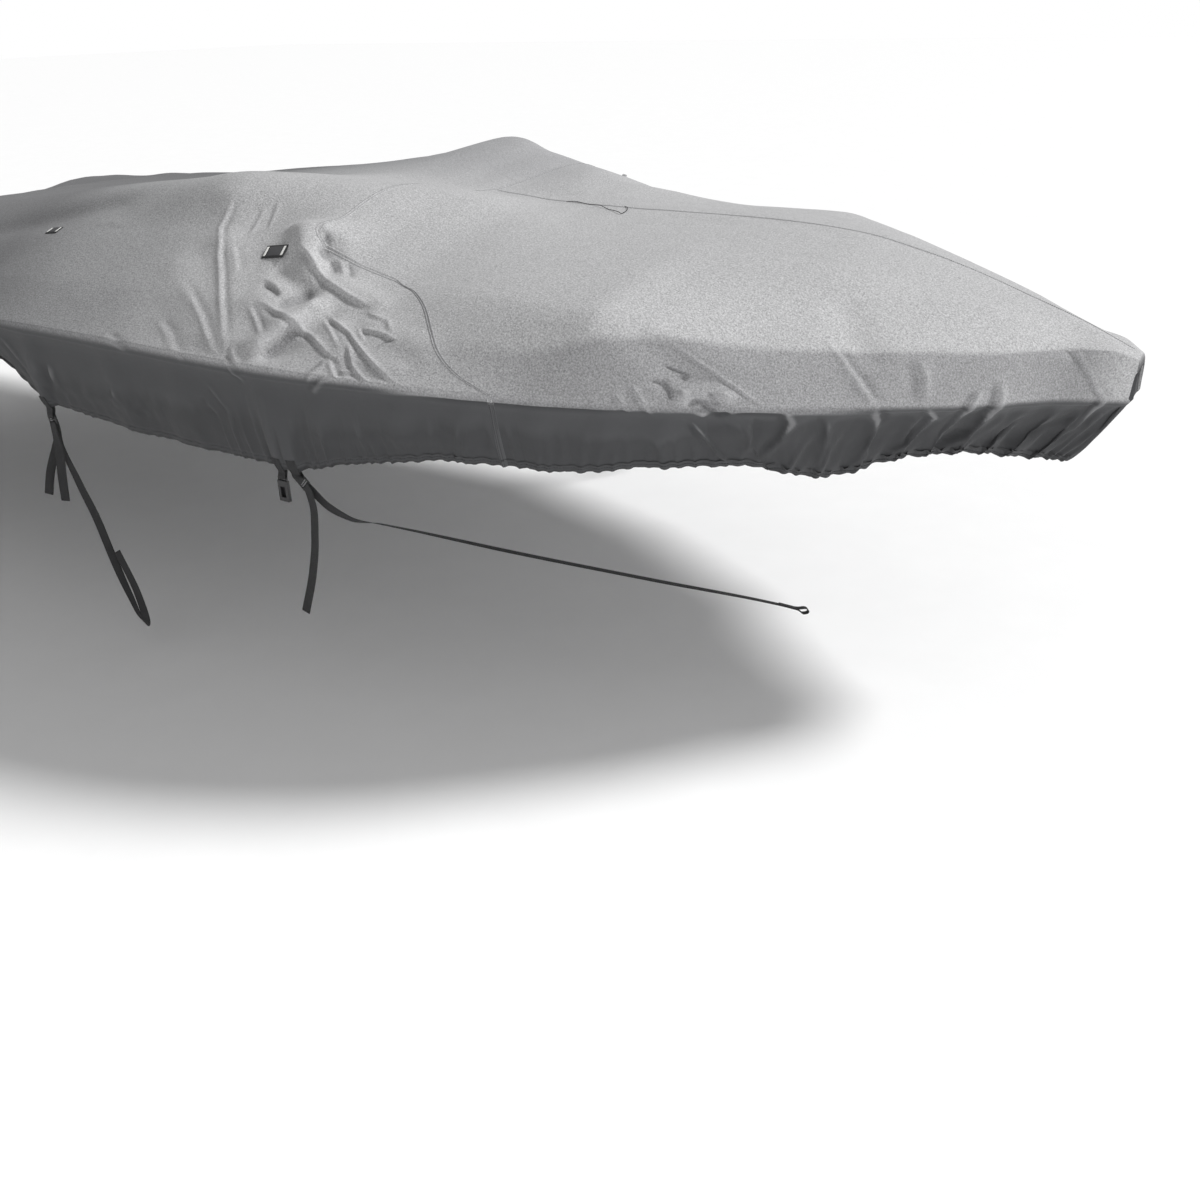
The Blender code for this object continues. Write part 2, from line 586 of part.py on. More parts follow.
def strip(name, middles, thick, colour, roughness):
    """A closed flat piece around a grid of points on its middle surface."""
    grid = np.asarray(middles, float)
    along = np.gradient(grid, axis=0)
    across = np.gradient(grid, axis=1)
    normal = np.cross(across, along)
    normal /= np.linalg.norm(normal, axis=2, keepdims=True)
    rows, columns = grid.shape[:2]
    outer = (grid + normal * thick / 2).reshape(-1, 3)
    inner = (grid - normal * thick / 2).reshape(-1, 3)
    faces = []
    for i in range(rows - 1):
        for j in range(columns - 1):
            a = i * columns + j
            faces.append([a, a + 1, a + columns + 1, a + columns])
    return solid(name, outer, inner, faces, colour, roughness)


class Skin:
    """The panels' faces, to seat the sewn pieces on."""

    def __init__(self, bodies):
        points, faces = [], []
        for body in bodies:
            start = len(points)
            points.extend(vertex.co.copy() for vertex in body.data.vertices)
            faces.extend([start + i for i in face.vertices] for face in body.data.polygons)
        self.tree = BVHTree.FromPolygons(points, faces)
        self.shift = placed(np.zeros(3))

    def seat(self, aft, across, lift):
        """Point over the cloth's outer face, or under its inner one for a lift below 0."""
        line = np.full(1, aft)
        for _ in range(12):
            line += aft - swept(line, np.array([across]))
        point, normal = cloth(line, [across])[0], normals(line, [across])[0]
        way = 1.0 if lift > 0 else -1.0
        start = point + self.shift + normal * way * 0.04
        hit = self.tree.ray_cast(Vector(start), Vector(-normal * way), 0.08)[0]
        found = np.array(hit) - self.shift if hit else point
        return found + normal * lift

    def cleared(self, grid, lift):
        """Raises a grid of points where it would cut the panel's facets between them."""
        normal = np.cross(grid[-1, 0] - grid[0, 0], grid[0, -1] - grid[0, 0])
        normal = unit(normal) * (1.0 if normal[2] > 0 else -1.0)
        rise = np.zeros(grid.shape[:2])
        for i in range(grid.shape[0] - 1):
            for j in range(grid.shape[1] - 1):
                for a, b in ((m / 6, n / 6) for m in range(7) for n in range(7)):
                    point = ((grid[i, j] * (1 - a) + grid[i + 1, j] * a) * (1 - b)
                             + (grid[i, j + 1] * (1 - a) + grid[i + 1, j + 1] * a) * b)
                    start = point + self.shift + normal * 0.04
                    hit = self.tree.ray_cast(Vector(start), Vector(-normal), 0.08)[0]
                    if hit is None:
                        continue
                    clear = float((point + self.shift - np.array(hit)) @ normal)
                    short = max(0.0, lift - clear)
                    rise[i:i + 2, j:j + 2] = np.maximum(rise[i:i + 2, j:j + 2], short)
        return grid + normal * rise[..., None]


def patch(skin, name, aft, v, half_long, half_across):
    scale = half_across / METRES_PER_V
    lift = PATCH_GAP + WEBBING_THICK / 2
    grid = []
    for share in np.linspace(-1, 1, 9):
        row = [skin.seat(aft + half_long * share, v + scale * k, lift)
               for k in (-1, -0.5, 0, 0.5, 1)]
        grid.append(row)
    grid = skin.cleared(np.array(grid), lift)
    return strip(name, grid, WEBBING_THICK, WEBBING_BLACK, 0.7)


class Hanger:
    """The directions at a tab: out from the boat, down along the tab, and across it."""

    def __init__(self, skin, aft, side, drop, lean):
        lean = math.radians(lean)
        self.side = side
        self.out = np.array([0.0, float(side), 0.0])
        self.down = np.array([math.sin(lean), 0.0, -math.cos(lean)])
        self.across = np.cross(self.down, self.out)
        hem = (skin.seat(aft, side * HEM_SEAT, 1e-5) + skin.seat(aft, side * HEM_SEAT, -1e-5)) / 2
        slope = hem - skin.seat(aft, side * 0.93, 1e-5)
        slope[0] = 0.0
        self.bar = hem + unit(slope) * PAST_HEM + self.down * (drop - PAST_HEM)

    def at(self, out, down, across=0.0):
        return self.bar + self.out * out + self.down * down + self.across * across


def arc(hanger, centre, reach_out, reach_down, start, stop, steps):
    """Points round a bar, from the front (0 degrees) under or over it to the back (180)."""
    points = []
    for angle in np.radians(np.linspace(start, stop, steps)):
        out, down = reach_out * math.cos(angle), centre + reach_down * math.sin(angle)
        points.append((out, down))
    return points


def tab(skin, name, hanger, aft):
    """Webbing sewn outside the hem, down round the bar and up inside the hem."""
    lift = STITCHED_GAP + WEBBING_THICK / 2
    half = WEBBING_WIDTH / 2
    height = 0.25
    ups = [1 - TAB_UP / height * (1 - RUB_V), 1 - TAB_UP / height / 2 * (1 - RUB_V), HEM_SEAT]
    shares = (-1.0, 0.0, 1.0)
    front, back = [], []
    for across in ups:
        front.append([skin.seat(aft - half * k, hanger.side * across, lift) for k in shares])
        back.append([skin.seat(aft - half * k, hanger.side * across, -lift) for k in shares])
    for rows in (front, back):
        past = [point + unit(point - above) * PAST_HEM
                for above, point in zip(rows[-2], rows[-1])]
        rows.append(past)
    loop = [[hanger.at(out, down, half * k * turn_of(hanger)) for k in shares]
            for out, down in arc(hanger, 0.0, LOOP_REACH, LOOP_REACH, 0, 180, 7)]
    rows = front + loop + back[::-1]
    return strip(name, rows, WEBBING_THICK, WEBBING_BLACK, 0.7)


def turn_of(hanger):
    """Whether the hanger's across direction runs forward or aft."""
    return 1.0 if hanger.across[0] > 0 else -1.0


def cells(name, hanger, cuts, filled, colour):
    """A closed body of the filled cells between cuts across, out and down."""
    across, out, down = cuts
    shape = (len(across) - 1, len(out) - 1, len(down) - 1)
    index, vertices, faces = {}, [], []

    def corner(i, j, k):
        if (i, j, k) not in index:
            index[(i, j, k)] = len(vertices)
            vertices.append(tuple(placed(hanger.at(out[j], down[k], across[i]))))
        return index[(i, j, k)]

    def solid_at(i, j, k):
        inside = 0 <= i < shape[0] and 0 <= j < shape[1] and 0 <= k < shape[2]
        return inside and filled(i, j, k)

    sides = (
        ((1, 0, 0), ((1, 0, 0), (1, 1, 0), (1, 1, 1), (1, 0, 1))),
        ((-1, 0, 0), ((0, 0, 0), (0, 0, 1), (0, 1, 1), (0, 1, 0))),
        ((0, 1, 0), ((0, 1, 0), (0, 1, 1), (1, 1, 1), (1, 1, 0))),
        ((0, -1, 0), ((0, 0, 0), (1, 0, 0), (1, 0, 1), (0, 0, 1))),
        ((0, 0, 1), ((0, 0, 1), (1, 0, 1), (1, 1, 1), (0, 1, 1))),
        ((0, 0, -1), ((0, 0, 0), (0, 1, 0), (1, 1, 0), (1, 0, 0))),
    )
    for i in range(shape[0]):
        for j in range(shape[1]):
            for k in range(shape[2]):
                if not solid_at(i, j, k):
                    continue
                for step, corners in sides:
                    if not solid_at(i + step[0], j + step[1], k + step[2]):
                        faces.append([corner(i + a, j + b, k + c) for a, b, c in corners])
    axes = np.stack([hanger.across, hanger.out, hanger.down])
    if np.linalg.det(axes) < 0:
        faces = [face[::-1] for face in faces]
    mesh = bpy.data.meshes.new(name)
    mesh.from_pydata(vertices, [], faces)
    mesh.update()
    body = bpy.data.objects.new(name, mesh)
    bpy.context.scene.collection.objects.link(body)
    mesh.materials.append(surface_material(name, colour, 0.45))
    return body


def adjuster(name, hanger):
    half, slot = ADJUSTER_WIDTH / 2, WEBBING_WIDTH / 2 + 0.0008
    cuts = ((-half, -slot, slot, half), (-BAR_DEPTH / 2, BAR_DEPTH / 2), ADJUSTER_CUTS)
    return cells(name, hanger, cuts, lambda i, j, k: i != 1 or k % 2 == 0, PLASTIC_BLACK)


def buckle_half(name, hanger):
    half, slot = BUCKLE_WIDTH / 2, WEBBING_WIDTH / 2 + 0.0008
    depth, mouth, bar = BUCKLE_DEPTH / 2, BUCKLE_DEPTH / 2 - BUCKLE_WALL, BAR_DEPTH / 2
    cuts = ((-half, -slot, slot, half), (-depth, -mouth, -bar, bar, mouth, depth), BUCKLE_CUTS)

    def filled(i, j, k):
        if k == 0:
            return j == 2
        if k == 1:
            return j == 2 and i != 1
        if k == 2:
            return True
        return i != 1 or j in (0, 4)

    return cells(name, hanger, cuts, filled, PLASTIC_BLACK)


def path_rows(rows):
    return [(np.array([-row[0], row[1], row[2]]), row[3]) for row in rows]


def strap(name, hanger, tail, run, steps=3):
    """One webbing from its tail's end, round the adjuster's lower bar, along its run."""
    ends = []
    for rows, sign in ((tail, 1.0), (run, -1.0)):
        leave = hanger.at(sign * 0.0046, LOWER_BAR + 0.012)
        ends.append([(leave, 0.0)] + path_rows(rows))
    loop = [(hanger.at(out, down), 0.0)
            for out, down in arc(hanger, LOWER_BAR, LOOP_REACH, -0.0042, 0, 180, 7)]
    path = ends[0][::-1] + loop + ends[1]
    return band(name, path, hanger, steps)


def band(name, path, hanger, steps, hold=None):
    """Webbing along a path; its flat face turns about the path as the rows say."""
    points = np.array([p for p, _ in path])
    turns = np.array([t for _, t in path])
    length = np.concatenate([[0], np.cumsum(np.linalg.norm(np.diff(points, axis=0), axis=1))])
    at = []
    for a, b in zip(length[:-1], length[1:]):
        count = steps if b - a > 0.03 else 1
        at.extend(a + (b - a) * np.arange(count) / count)
    at = np.array(at + [length[-1]])
    spine = np.stack([smooth(at, length, points[:, k]) for k in range(3)], 1)
    turn = np.radians(smooth(at, length, turns))
    tangent = np.gradient(spine, axis=0)
    rows = []
    way = None
    for point, ahead, angle in zip(spine, tangent, turn):
        ahead = unit(ahead)
        flat = np.cross(ahead, np.array([0.0, 1.0, 0.0]))
        if np.linalg.norm(flat) < 0.2 or abs(ahead[1]) > 0.9:
            flat = way
        flat = unit(flat - ahead * float(flat @ ahead))
        if way is None:
            way = hanger.across * (1.0 if flat @ hanger.across > 0 else -1.0)
        if flat @ way < 0:
            flat = -flat
        way = flat
        turned = flat * math.cos(angle) + np.cross(ahead, flat) * math.sin(angle)
        rows.append([point - turned * WEBBING_WIDTH / 2, point + turned * WEBBING_WIDTH / 2])
    return strip(name, rows, WEBBING_THICK, WEBBING_BLACK, 0.7)


def fittings(skin):
    hangers = {}
    for name, aft, side, drop, lean in TABS:
        hanger = Hanger(skin, aft, side, drop, lean)
        hangers[name] = hanger
        tab(skin, "tab_" + name, hanger, aft)
        if name == "starboard_buckle":
            buckle_half("buckle_half", hanger)
        else:
            adjuster("adjuster_" + name, hanger)
    for row in PATCHES:
        patch(skin, *row)
    return hangers


def straps(hangers):
    strap("strap_starboard_fore", hangers["starboard_fore"], TAIL_STARBOARD_FORE,
          RUN_STARBOARD_FORE)
    strap("strap_starboard_aft", hangers["starboard_aft"], TAIL_STARBOARD_AFT,
          RUN_STARBOARD_AFT)
    aft = hangers["starboard_aft"]
    sewn = [(aft.at(out, down), 0.0) for out, down in SHORT_END_SEWN]
    band("short_end", sewn + path_rows(SHORT_END), aft, 2)
    for name in ("port_fore", "port_aft"):
        hanger = hangers[name]
        foot = hanger.at(0.0046, LOWER_BAR)
        tail = [(-(foot[0]) + a, foot[1] + y, foot[2] + z, t) for a, y, z, t in TAIL_PORT]
        back = hanger.at(-0.0046, LOWER_BAR)
        run = [(-(back[0]) + a, back[1] - y - 0.004, back[2] + z, -t)
               for a, y, z, t in TAIL_PORT]
        strap("strap_" + name, hanger, tail, run, 2)


def remove_all():
    for thing in list(bpy.data.objects):
        bpy.data.objects.remove(thing)


def main():
    remove_all()
    stops = (0.0, SEAM_TURN, SEAM_AFT, COVER_LENGTH)
    spans = [stations(a, b, SPACING) for a, b in zip(stops[:-1], stops[1:])]
    lines = np.concatenate([spans[0][:-1], spans[1][:-1], spans[2]])
    panels = [
        panel("fore_panel_starboard", lines, -1, -SEAM_GAP),
        panel("fore_panel_port", lines, 1, SEAM_GAP),
        panel("aft_panel", lines, 0, 0.0),
    ]
    straps(fittings(Skin(panels)))


main()
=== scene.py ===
import math
import random

import bmesh
import bpy
import numpy as np
from mathutils import Matrix, Vector


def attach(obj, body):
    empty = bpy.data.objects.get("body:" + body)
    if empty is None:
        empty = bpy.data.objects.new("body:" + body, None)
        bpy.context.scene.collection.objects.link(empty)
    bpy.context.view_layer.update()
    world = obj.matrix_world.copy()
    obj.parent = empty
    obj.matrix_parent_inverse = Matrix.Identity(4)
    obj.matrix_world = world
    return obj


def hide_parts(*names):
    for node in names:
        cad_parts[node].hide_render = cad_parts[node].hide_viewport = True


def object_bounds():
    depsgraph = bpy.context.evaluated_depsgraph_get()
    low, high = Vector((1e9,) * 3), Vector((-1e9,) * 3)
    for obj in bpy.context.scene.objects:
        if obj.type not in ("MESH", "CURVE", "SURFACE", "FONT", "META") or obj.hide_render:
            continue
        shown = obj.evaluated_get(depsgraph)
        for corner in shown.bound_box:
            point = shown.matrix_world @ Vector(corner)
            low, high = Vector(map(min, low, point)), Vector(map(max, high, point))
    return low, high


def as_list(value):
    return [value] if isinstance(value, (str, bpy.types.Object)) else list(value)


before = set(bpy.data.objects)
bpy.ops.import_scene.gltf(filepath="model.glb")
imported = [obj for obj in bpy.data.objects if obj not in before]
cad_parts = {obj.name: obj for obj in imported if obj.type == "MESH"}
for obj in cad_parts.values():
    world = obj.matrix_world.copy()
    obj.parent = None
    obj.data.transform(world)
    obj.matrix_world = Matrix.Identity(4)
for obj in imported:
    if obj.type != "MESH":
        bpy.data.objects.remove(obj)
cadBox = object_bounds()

body = "root"
print("frame loaded:", len(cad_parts), "nodes")

# The same draping tables as the solids: metres aft of the bow tip, and across the
# cloth, where 0 is the centreline, 0.75 the rub rail and 1 the hem; starboard is below 0.
drape = {
    "length": 5.40, "mountAft": 2.20, "cloth": 0.0024,
    "hemTuck": 0.045, "stemRake": 0.12, "stemReach": 0.50, "sternRake": 0.05, "sternReach": 0.25,
    "seamAft": 1.90, "seamTurn": 1.63,
    "crestV": 0.30, "shoulderV": 0.555, "rubV": 0.75,
    "metresPerV": 1.70, "skirtMetres": 1.00, "portShift": 0.03, "leanLimits": (-1.2, 1.6),
    "railFade": 0.03, "endFade": 0.1, "bowCalm": 0.05, "sternCalm": 0.06, "rounds": 14,
}
offsetNames = ("aft", "half", "rub", "hem", "shoulderY", "shoulderZ",
               "crestY", "crestZ", "shoulderDrop", "crestDrop", "midZ")
offsetRows = (
    (0.000, 0.045, 0.000, -0.170, 0.036, 0.092, 0.020, 0.098, 0.000, 0.000, 0.100),
    (0.060, 0.095, 0.007, -0.163, 0.075, 0.118, 0.042, 0.124, 0.000, 0.000, 0.127),
    (0.145, 0.165, 0.016, -0.150, 0.125, 0.122, 0.070, 0.145, 0.000, 0.005, 0.165),
    (0.280, 0.335, 0.029, -0.120, 0.275, 0.132, 0.140, 0.196, 0.000, 0.012, 0.214),
    (0.420, 0.474, 0.043, -0.115, 0.405, 0.150, 0.200, 0.240, 0.005, 0.020, 0.262),
    (0.560, 0.600, 0.056, -0.145, 0.520, 0.162, 0.260, 0.278, 0.005, 0.025, 0.302),
    (0.720, 0.735, 0.070, -0.100, 0.645, 0.180, 0.310, 0.310, 0.005, 0.020, 0.335),
    (0.930, 0.878, 0.086, -0.090, 0.790, 0.235, 0.350, 0.332, 0.020, 0.012, 0.352),
    (1.050, 0.942, 0.095, -0.100, 0.830, 0.270, 0.370, 0.340, 0.030, 0.022, 0.356),
    (1.320, 1.055, 0.112, -0.085, 0.810, 0.285, 0.360, 0.345, 0.040, 0.018, 0.358),
    (1.600, 1.128, 0.127, -0.115, 0.785, 0.275, 0.300, 0.375, 0.012, 0.000, 0.362),
    (1.750, 1.151, 0.133, -0.140, 0.780, 0.300, 0.330, 0.420, 0.012, 0.010, 0.372),
    (1.920, 1.167, 0.139, -0.135, 0.790, 0.355, 0.460, 0.455, 0.045, 0.042, 0.388),
    (2.100, 1.174, 0.145, -0.130, 0.815, 0.352, 0.550, 0.475, 0.015, 0.038, 0.405),
    (2.290, 1.176, 0.149, -0.125, 0.840, 0.365, 0.630, 0.492, 0.000, 0.022, 0.420),
    (2.480, 1.176, 0.151, -0.110, 0.860, 0.355, 0.630, 0.466, 0.000, 0.042, 0.410),
    (2.680, 1.176, 0.152, -0.088, 0.870, 0.345, 0.630, 0.448, 0.000, 0.060, 0.400),
    (2.900, 1.176, 0.151, 0.020, 0.880, 0.330, 0.630, 0.422, 0.000, 0.062, 0.388),
    (3.300, 1.172, 0.146, 0.010, 0.880, 0.300, 0.600, 0.372, 0.000, 0.045, 0.355),
    (3.800, 1.160, 0.128, -0.035, 0.870, 0.260, 0.560, 0.318, 0.000, 0.036, 0.320),
    (4.050, 1.155, 0.114, -0.050, 0.870, 0.235, 0.560, 0.290, 0.000, 0.022, 0.286),
    (4.300, 1.148, 0.099, -0.060, 0.870, 0.215, 0.580, 0.262, 0.000, 0.010, 0.232),
    (4.550, 1.140, 0.080, -0.078, 0.870, 0.192, 0.610, 0.243, 0.000, 0.000, 0.186),
    (4.780, 1.130, 0.062, -0.090, 0.880, 0.165, 0.640, 0.218, 0.000, 0.000, 0.152),
    (5.080, 1.115, 0.034, -0.120, 0.900, 0.110, 0.660, 0.142, 0.000, 0.000, 0.116),
    (5.300, 1.085, 0.011, -0.155, 0.900, 0.072, 0.660, 0.090, 0.000, 0.000, 0.086),
    (5.400, 1.000, 0.000, -0.175, 0.880, 0.055, 0.620, 0.066, 0.000, 0.000, 0.070),
)
sweepNames = ("line", "sweep")
sweepRows = (
    (0.00, 0.00), (0.30, 0.05), (0.87, 0.18), (1.30, 0.32), (1.63, 0.42),
    (1.90, 0.42), (2.30, 0.32), (2.80, 0.18), (3.30, 0.08), (4.00, 0.00), (5.40, 0.00),
)
shareNames = ("v", "share")
shareRows = (
    (0.000, 0.00), (0.555, 0.00), (0.575, 0.17), (0.610, 0.36), (0.655, 0.52),
    (0.690, 0.64), (0.720, 0.79), (0.750, 1.00),
)
# Main folds, shared with the solids: from and to (aft, v), width and height.
foldRows = (
    (1.915, -0.540, 1.915, -0.540, 0.075, 0.034),
    (1.865, -0.555, 1.820, -0.585, 0.035, -0.020),
    (1.980, -0.530, 1.860, -0.592, 0.034, 0.012),
    (1.850, -0.596, 1.620, -0.612, 0.034, 0.012),
    (1.920, -0.610, 1.820, -0.632, 0.034, -0.018),
    (1.835, -0.735, 1.770, -0.652, 0.034, 0.022),
    (1.780, -0.735, 1.725, -0.660, 0.034, -0.018),
    (1.750, -0.650, 1.450, -0.730, 0.034, 0.010),
    (1.930, -0.667, 1.620, -0.705, 0.030, 0.008),
    (1.580, -0.650, 1.400, -0.690, 0.040, 0.008),
    (2.240, -0.430, 2.180, -0.570, 0.050, 0.007),
    (2.180, -0.570, 1.900, -0.730, 0.045, 0.008),
    (2.250, -0.630, 1.950, -0.740, 0.045, 0.007),
    (0.600, -0.420, 0.500, -0.600, 0.035, -0.006),
    (0.140, -0.560, 0.060, -0.730, 0.025, -0.005),
    (0.790, -0.725, 0.790, -0.725, 0.060, 0.018),
    (0.900, -0.600, 0.830, -0.670, 0.060, -0.010),
    (1.900, 0.545, 1.900, 0.545, 0.075, 0.010),
    (1.700, 0.600, 1.500, 0.680, 0.050, 0.010),
    (0.750, 0.690, 0.700, 0.620, 0.050, 0.010),
    (2.700, -0.450, 3.300, -0.600, 0.080, -0.010),
    (3.600, 0.150, 4.200, 0.420, 0.110, 0.010),
    (3.500, -0.420, 4.500, -0.250, 0.120, -0.010),
    (4.600, -0.150, 5.250, -0.100, 0.100, 0.012),
    (4.700, 0.200, 5.250, 0.260, 0.090, -0.010),
)
# Main pleats of the skirt: place at the rub rail, run aft on the way down, width, height.
pleatRows = (
    (0.055, 0.060, 0.016, 0.011), (0.115, 0.075, 0.020, 0.013),
    (0.180, 0.070, 0.018, 0.011), (0.245, 0.065, 0.022, 0.015),
    (0.320, 0.055, 0.020, 0.012), (0.385, 0.050, 0.022, 0.014),
    (0.460, 0.045, 0.024, 0.016), (0.540, 0.040, 0.022, 0.012),
    (0.615, 0.020, 0.026, 0.014), (0.740, -0.060, 0.020, 0.016),
    (0.860, 0.010, 0.030, 0.012), (0.980, 0.000, 0.028, 0.010),
    (1.120, 0.010, 0.034, 0.011), (1.270, 0.020, 0.032, 0.009),
    (1.430, 0.010, 0.040, 0.012), (1.620, 0.050, 0.038, 0.010),
    (1.800, -0.030, 0.045, 0.013), (2.060, 0.030, 0.050, 0.009),
    (2.330, -0.020, 0.050, 0.008), (2.640, 0.030, 0.045, 0.012),
    (2.960, -0.050, 0.060, 0.010), (3.400, 0.060, 0.070, 0.009),
    (3.900, 0.020, 0.080, 0.011), (4.450, -0.030, 0.080, 0.009),
    (4.950, 0.020, 0.070, 0.010), (5.250, 0.000, 0.050, 0.008),
)
# How the skirt stands off the line from rub rail to hem: over the rail, then under it.
skirtNames = ("down", "out")
skirtRows = (
    (0.000, 0.000), (0.040, 0.0030), (0.095, 0.0035), (0.135, -0.0030), (0.220, -0.0070),
    (0.500, 0.0020), (0.800, 0.0080), (0.940, 0.0050), (1.000, 0.000),
)


def tableOf(names, rows):
    values = np.array(rows, float)
    return {name: values[:, i] for i, name in enumerate(names)}


offsetTable = tableOf(offsetNames, offsetRows)
sweepTable = tableOf(sweepNames, sweepRows)
shareTable = tableOf(shareNames, shareRows)
skirtTable = tableOf(skirtNames, skirtRows)


def units(vectors):                  # each vector at length 1
    return vectors / np.maximum(np.linalg.norm(vectors, axis=-1, keepdims=True), 1e-9)


def hump(away, width):               # 1 in the middle, fading to both sides
    return np.exp(-(away / width) ** 2)


def smooth(x, stops, values):        # monotone cubic; values has a column for each x, or one for all
    x = np.asarray(x, float)
    values = np.asarray(values, float)
    if values.ndim == 1:
        values = values[:, None]
    step = np.diff(stops)[:, None]
    slope = np.diff(values, axis=0) / step
    tangent = np.zeros_like(values)
    tangent[0] = slope[0]
    tangent[-1] = slope[-1]
    product = slope[:-1] * slope[1:]
    total = slope[:-1] + slope[1:]
    safe = np.where(product > 0, total, 1.0)
    tangent[1:-1] = np.where(product > 0, 2 * product / safe, 0.0)
    i = np.clip(np.searchsorted(stops, x) - 1, 0, len(stops) - 2)
    n = np.arange(len(x)) if values.shape[1] > 1 else np.zeros(len(x), int)
    h = step[i, 0]
    t = np.clip((x - stops[i]) / h, 0.0, 1.0)
    low, high = values[i, n], values[i + 1, n]
    m0, m1 = tangent[i, n] * h, tangent[i + 1, n] * h
    return (low * (1 + 2 * t) * (1 - t) ** 2 + m0 * t * (1 - t) ** 2
            + high * t * t * (3 - 2 * t) + m1 * t * t * (t - 1))


def offsetAt(name, aft):
    return smooth(aft, offsetTable["aft"], offsetTable[name])


def ease(t):
    t = np.clip(t, 0.0, 1.0)
    return t * t * (3 - 2 * t)


def swept(line, v):                  # where a cross line of the cloth lies, aft of the tip
    sweep = smooth(line, sweepTable["line"], sweepTable["sweep"])
    return line - sweep * smooth(np.abs(v), shareTable["v"], shareTable["share"])


def lineThrough(aft, v):             # the cross line that passes a place on the cloth
    line = np.array(aft, float)
    for _ in range(drape["rounds"]):
        line = line + (aft - swept(line, v))
    return line


def section(aft, v):
    zero = np.zeros_like(aft)
    half, rub = offsetAt("half", aft), offsetAt("rub", aft)
    shoulderY, shoulderZ = offsetAt("shoulderY", aft), offsetAt("shoulderZ", aft)
    crestY, crestZ = offsetAt("crestY", aft), offsetAt("crestZ", aft)
    stops = np.array([-drape["rubV"], -drape["shoulderV"], -drape["crestV"], 0.0,
                      drape["crestV"], drape["shoulderV"], drape["rubV"]])
    y = smooth(v, stops, np.stack([-half, -shoulderY, -crestY, zero, crestY, shoulderY, half]))
    z = smooth(v, stops, np.stack([rub, shoulderZ, crestZ, offsetAt("midZ", aft),
                                   crestZ - offsetAt("crestDrop", aft),
                                   shoulderZ - offsetAt("shoulderDrop", aft), rub]))
    return np.stack([-aft, y, z], 1)


def foldHeight(aft, v):
    height = np.zeros_like(aft)
    p = np.stack([aft, v * drape["metresPerV"]], 1)
    for aftA, vA, aftB, vB, width, rise in foldRows:
        a = np.array([aftA, vA * drape["metresPerV"]])
        along = np.array([aftB, vB * drape["metresPerV"]]) - a
        t = np.clip((p - a) @ along / max(float(along @ along), 1e-9), 0.0, 1.0)
        height += rise * hump(np.linalg.norm(p - a - t[:, None] * along, axis=1), width)
    return height


def topPoints(aft, v):
    step = 0.004
    ahead = section(aft + step, v) - section(aft - step, v)
    across = section(aft, v + step) - section(aft, v - step)
    normal = units(np.cross(across, ahead))
    normal[normal[:, 2] < 0] *= -1
    edge = ease((drape["rubV"] - np.abs(v)) / drape["railFade"])
    ends = ease(aft / drape["endFade"]) * ease((drape["length"] - aft) / drape["endFade"])
    return section(aft, v) + normal * (foldHeight(aft, v) * edge * ends)[:, None]


pleats = {"dip": 0.3, "dipWidth": 2.2, "grown": 0.35}


def pleatHeight(aft, down, side):
    height = np.zeros_like(aft)
    shift = drape["portShift"] if side > 0 else 0.0
    for place, run, width, rise in pleatRows:
        away = aft - (place + shift + run * down)
        height += rise * (hump(away, width) - pleats["dip"] * hump(away, pleats["dipWidth"] * width))
    return height * ease(down / pleats["grown"])


def skirtPoints(rubPoint, aft, down, side):
    rake = drape["stemRake"] * np.clip(1 - aft / drape["stemReach"], 0, 1) ** 2
    past = aft - drape["length"] + drape["sternReach"]
    rake = rake - drape["sternRake"] * ease(past / drape["sternReach"])
    half = offsetAt("half", aft + rake) - drape["hemTuck"]
    foot = np.stack([-(aft + rake), side * half, offsetAt("hem", aft)], 1)
    step, d = 0.01, down[:, None]
    lean = (offsetAt("half", aft + step) - offsetAt("half", aft - step)) / (2 * step)
    lean = np.clip(lean, *drape["leanLimits"])
    out = units(np.stack([lean, side * np.ones_like(lean), np.zeros_like(lean)], 1))
    stand = smooth(down, skirtTable["down"], skirtTable["out"]) + pleatHeight(aft, down, side)
    return rubPoint * (1 - d) + foot * d + out * stand[:, None]


def placed(points):                  # from the tables' frame to the part's
    carried = offsetAt("midZ", np.array([drape["mountAft"]]))[0] - drape["cloth"]
    return np.asarray(points) + np.array([drape["mountAft"], 0.0, -carried])


def split(across):                   # the place on the top, and the share of the way down the skirt
    rub = drape["rubV"]
    return np.clip(across, -rub, rub), np.clip((np.abs(across) - rub) / (1.0 - rub), 0.0, 1.0)


def lowSides(across, down):          # each side's places below the rub rail
    for side in (-1, 1):
        low = (down > 0) & (np.sign(across) == side)
        if low.any():
            yield side, low


def clothBase(line, across):
    v, down = split(across)
    aft = swept(line, v)
    points = topPoints(aft, v)
    for side, low in lowSides(across, down):
        points[low] = skirtPoints(points[low], aft[low], down[low], side)
    return points


def clothNormals(line, across):
    step = 0.003
    ahead = clothBase(line + step, across) - clothBase(line - step, across)
    atHem = np.abs(across) > 1.0 - step
    beyond, before = np.where(atHem, 0.0, step), np.where(atHem, 2 * step, step)
    sign = np.where(across < 0, -1.0, 1.0)
    out = clothBase(line, across + sign * beyond) - clothBase(line, across - sign * before)
    return units(np.cross(out, ahead) * sign[:, None])


def spread(across):                  # metres of cloth from the centreline
    size = np.abs(across)
    rub = drape["rubV"]
    metres = drape["metresPerV"] * np.minimum(size, rub) + drape["skirtMetres"] * np.maximum(size - rub, 0)
    return np.sign(across) * metres


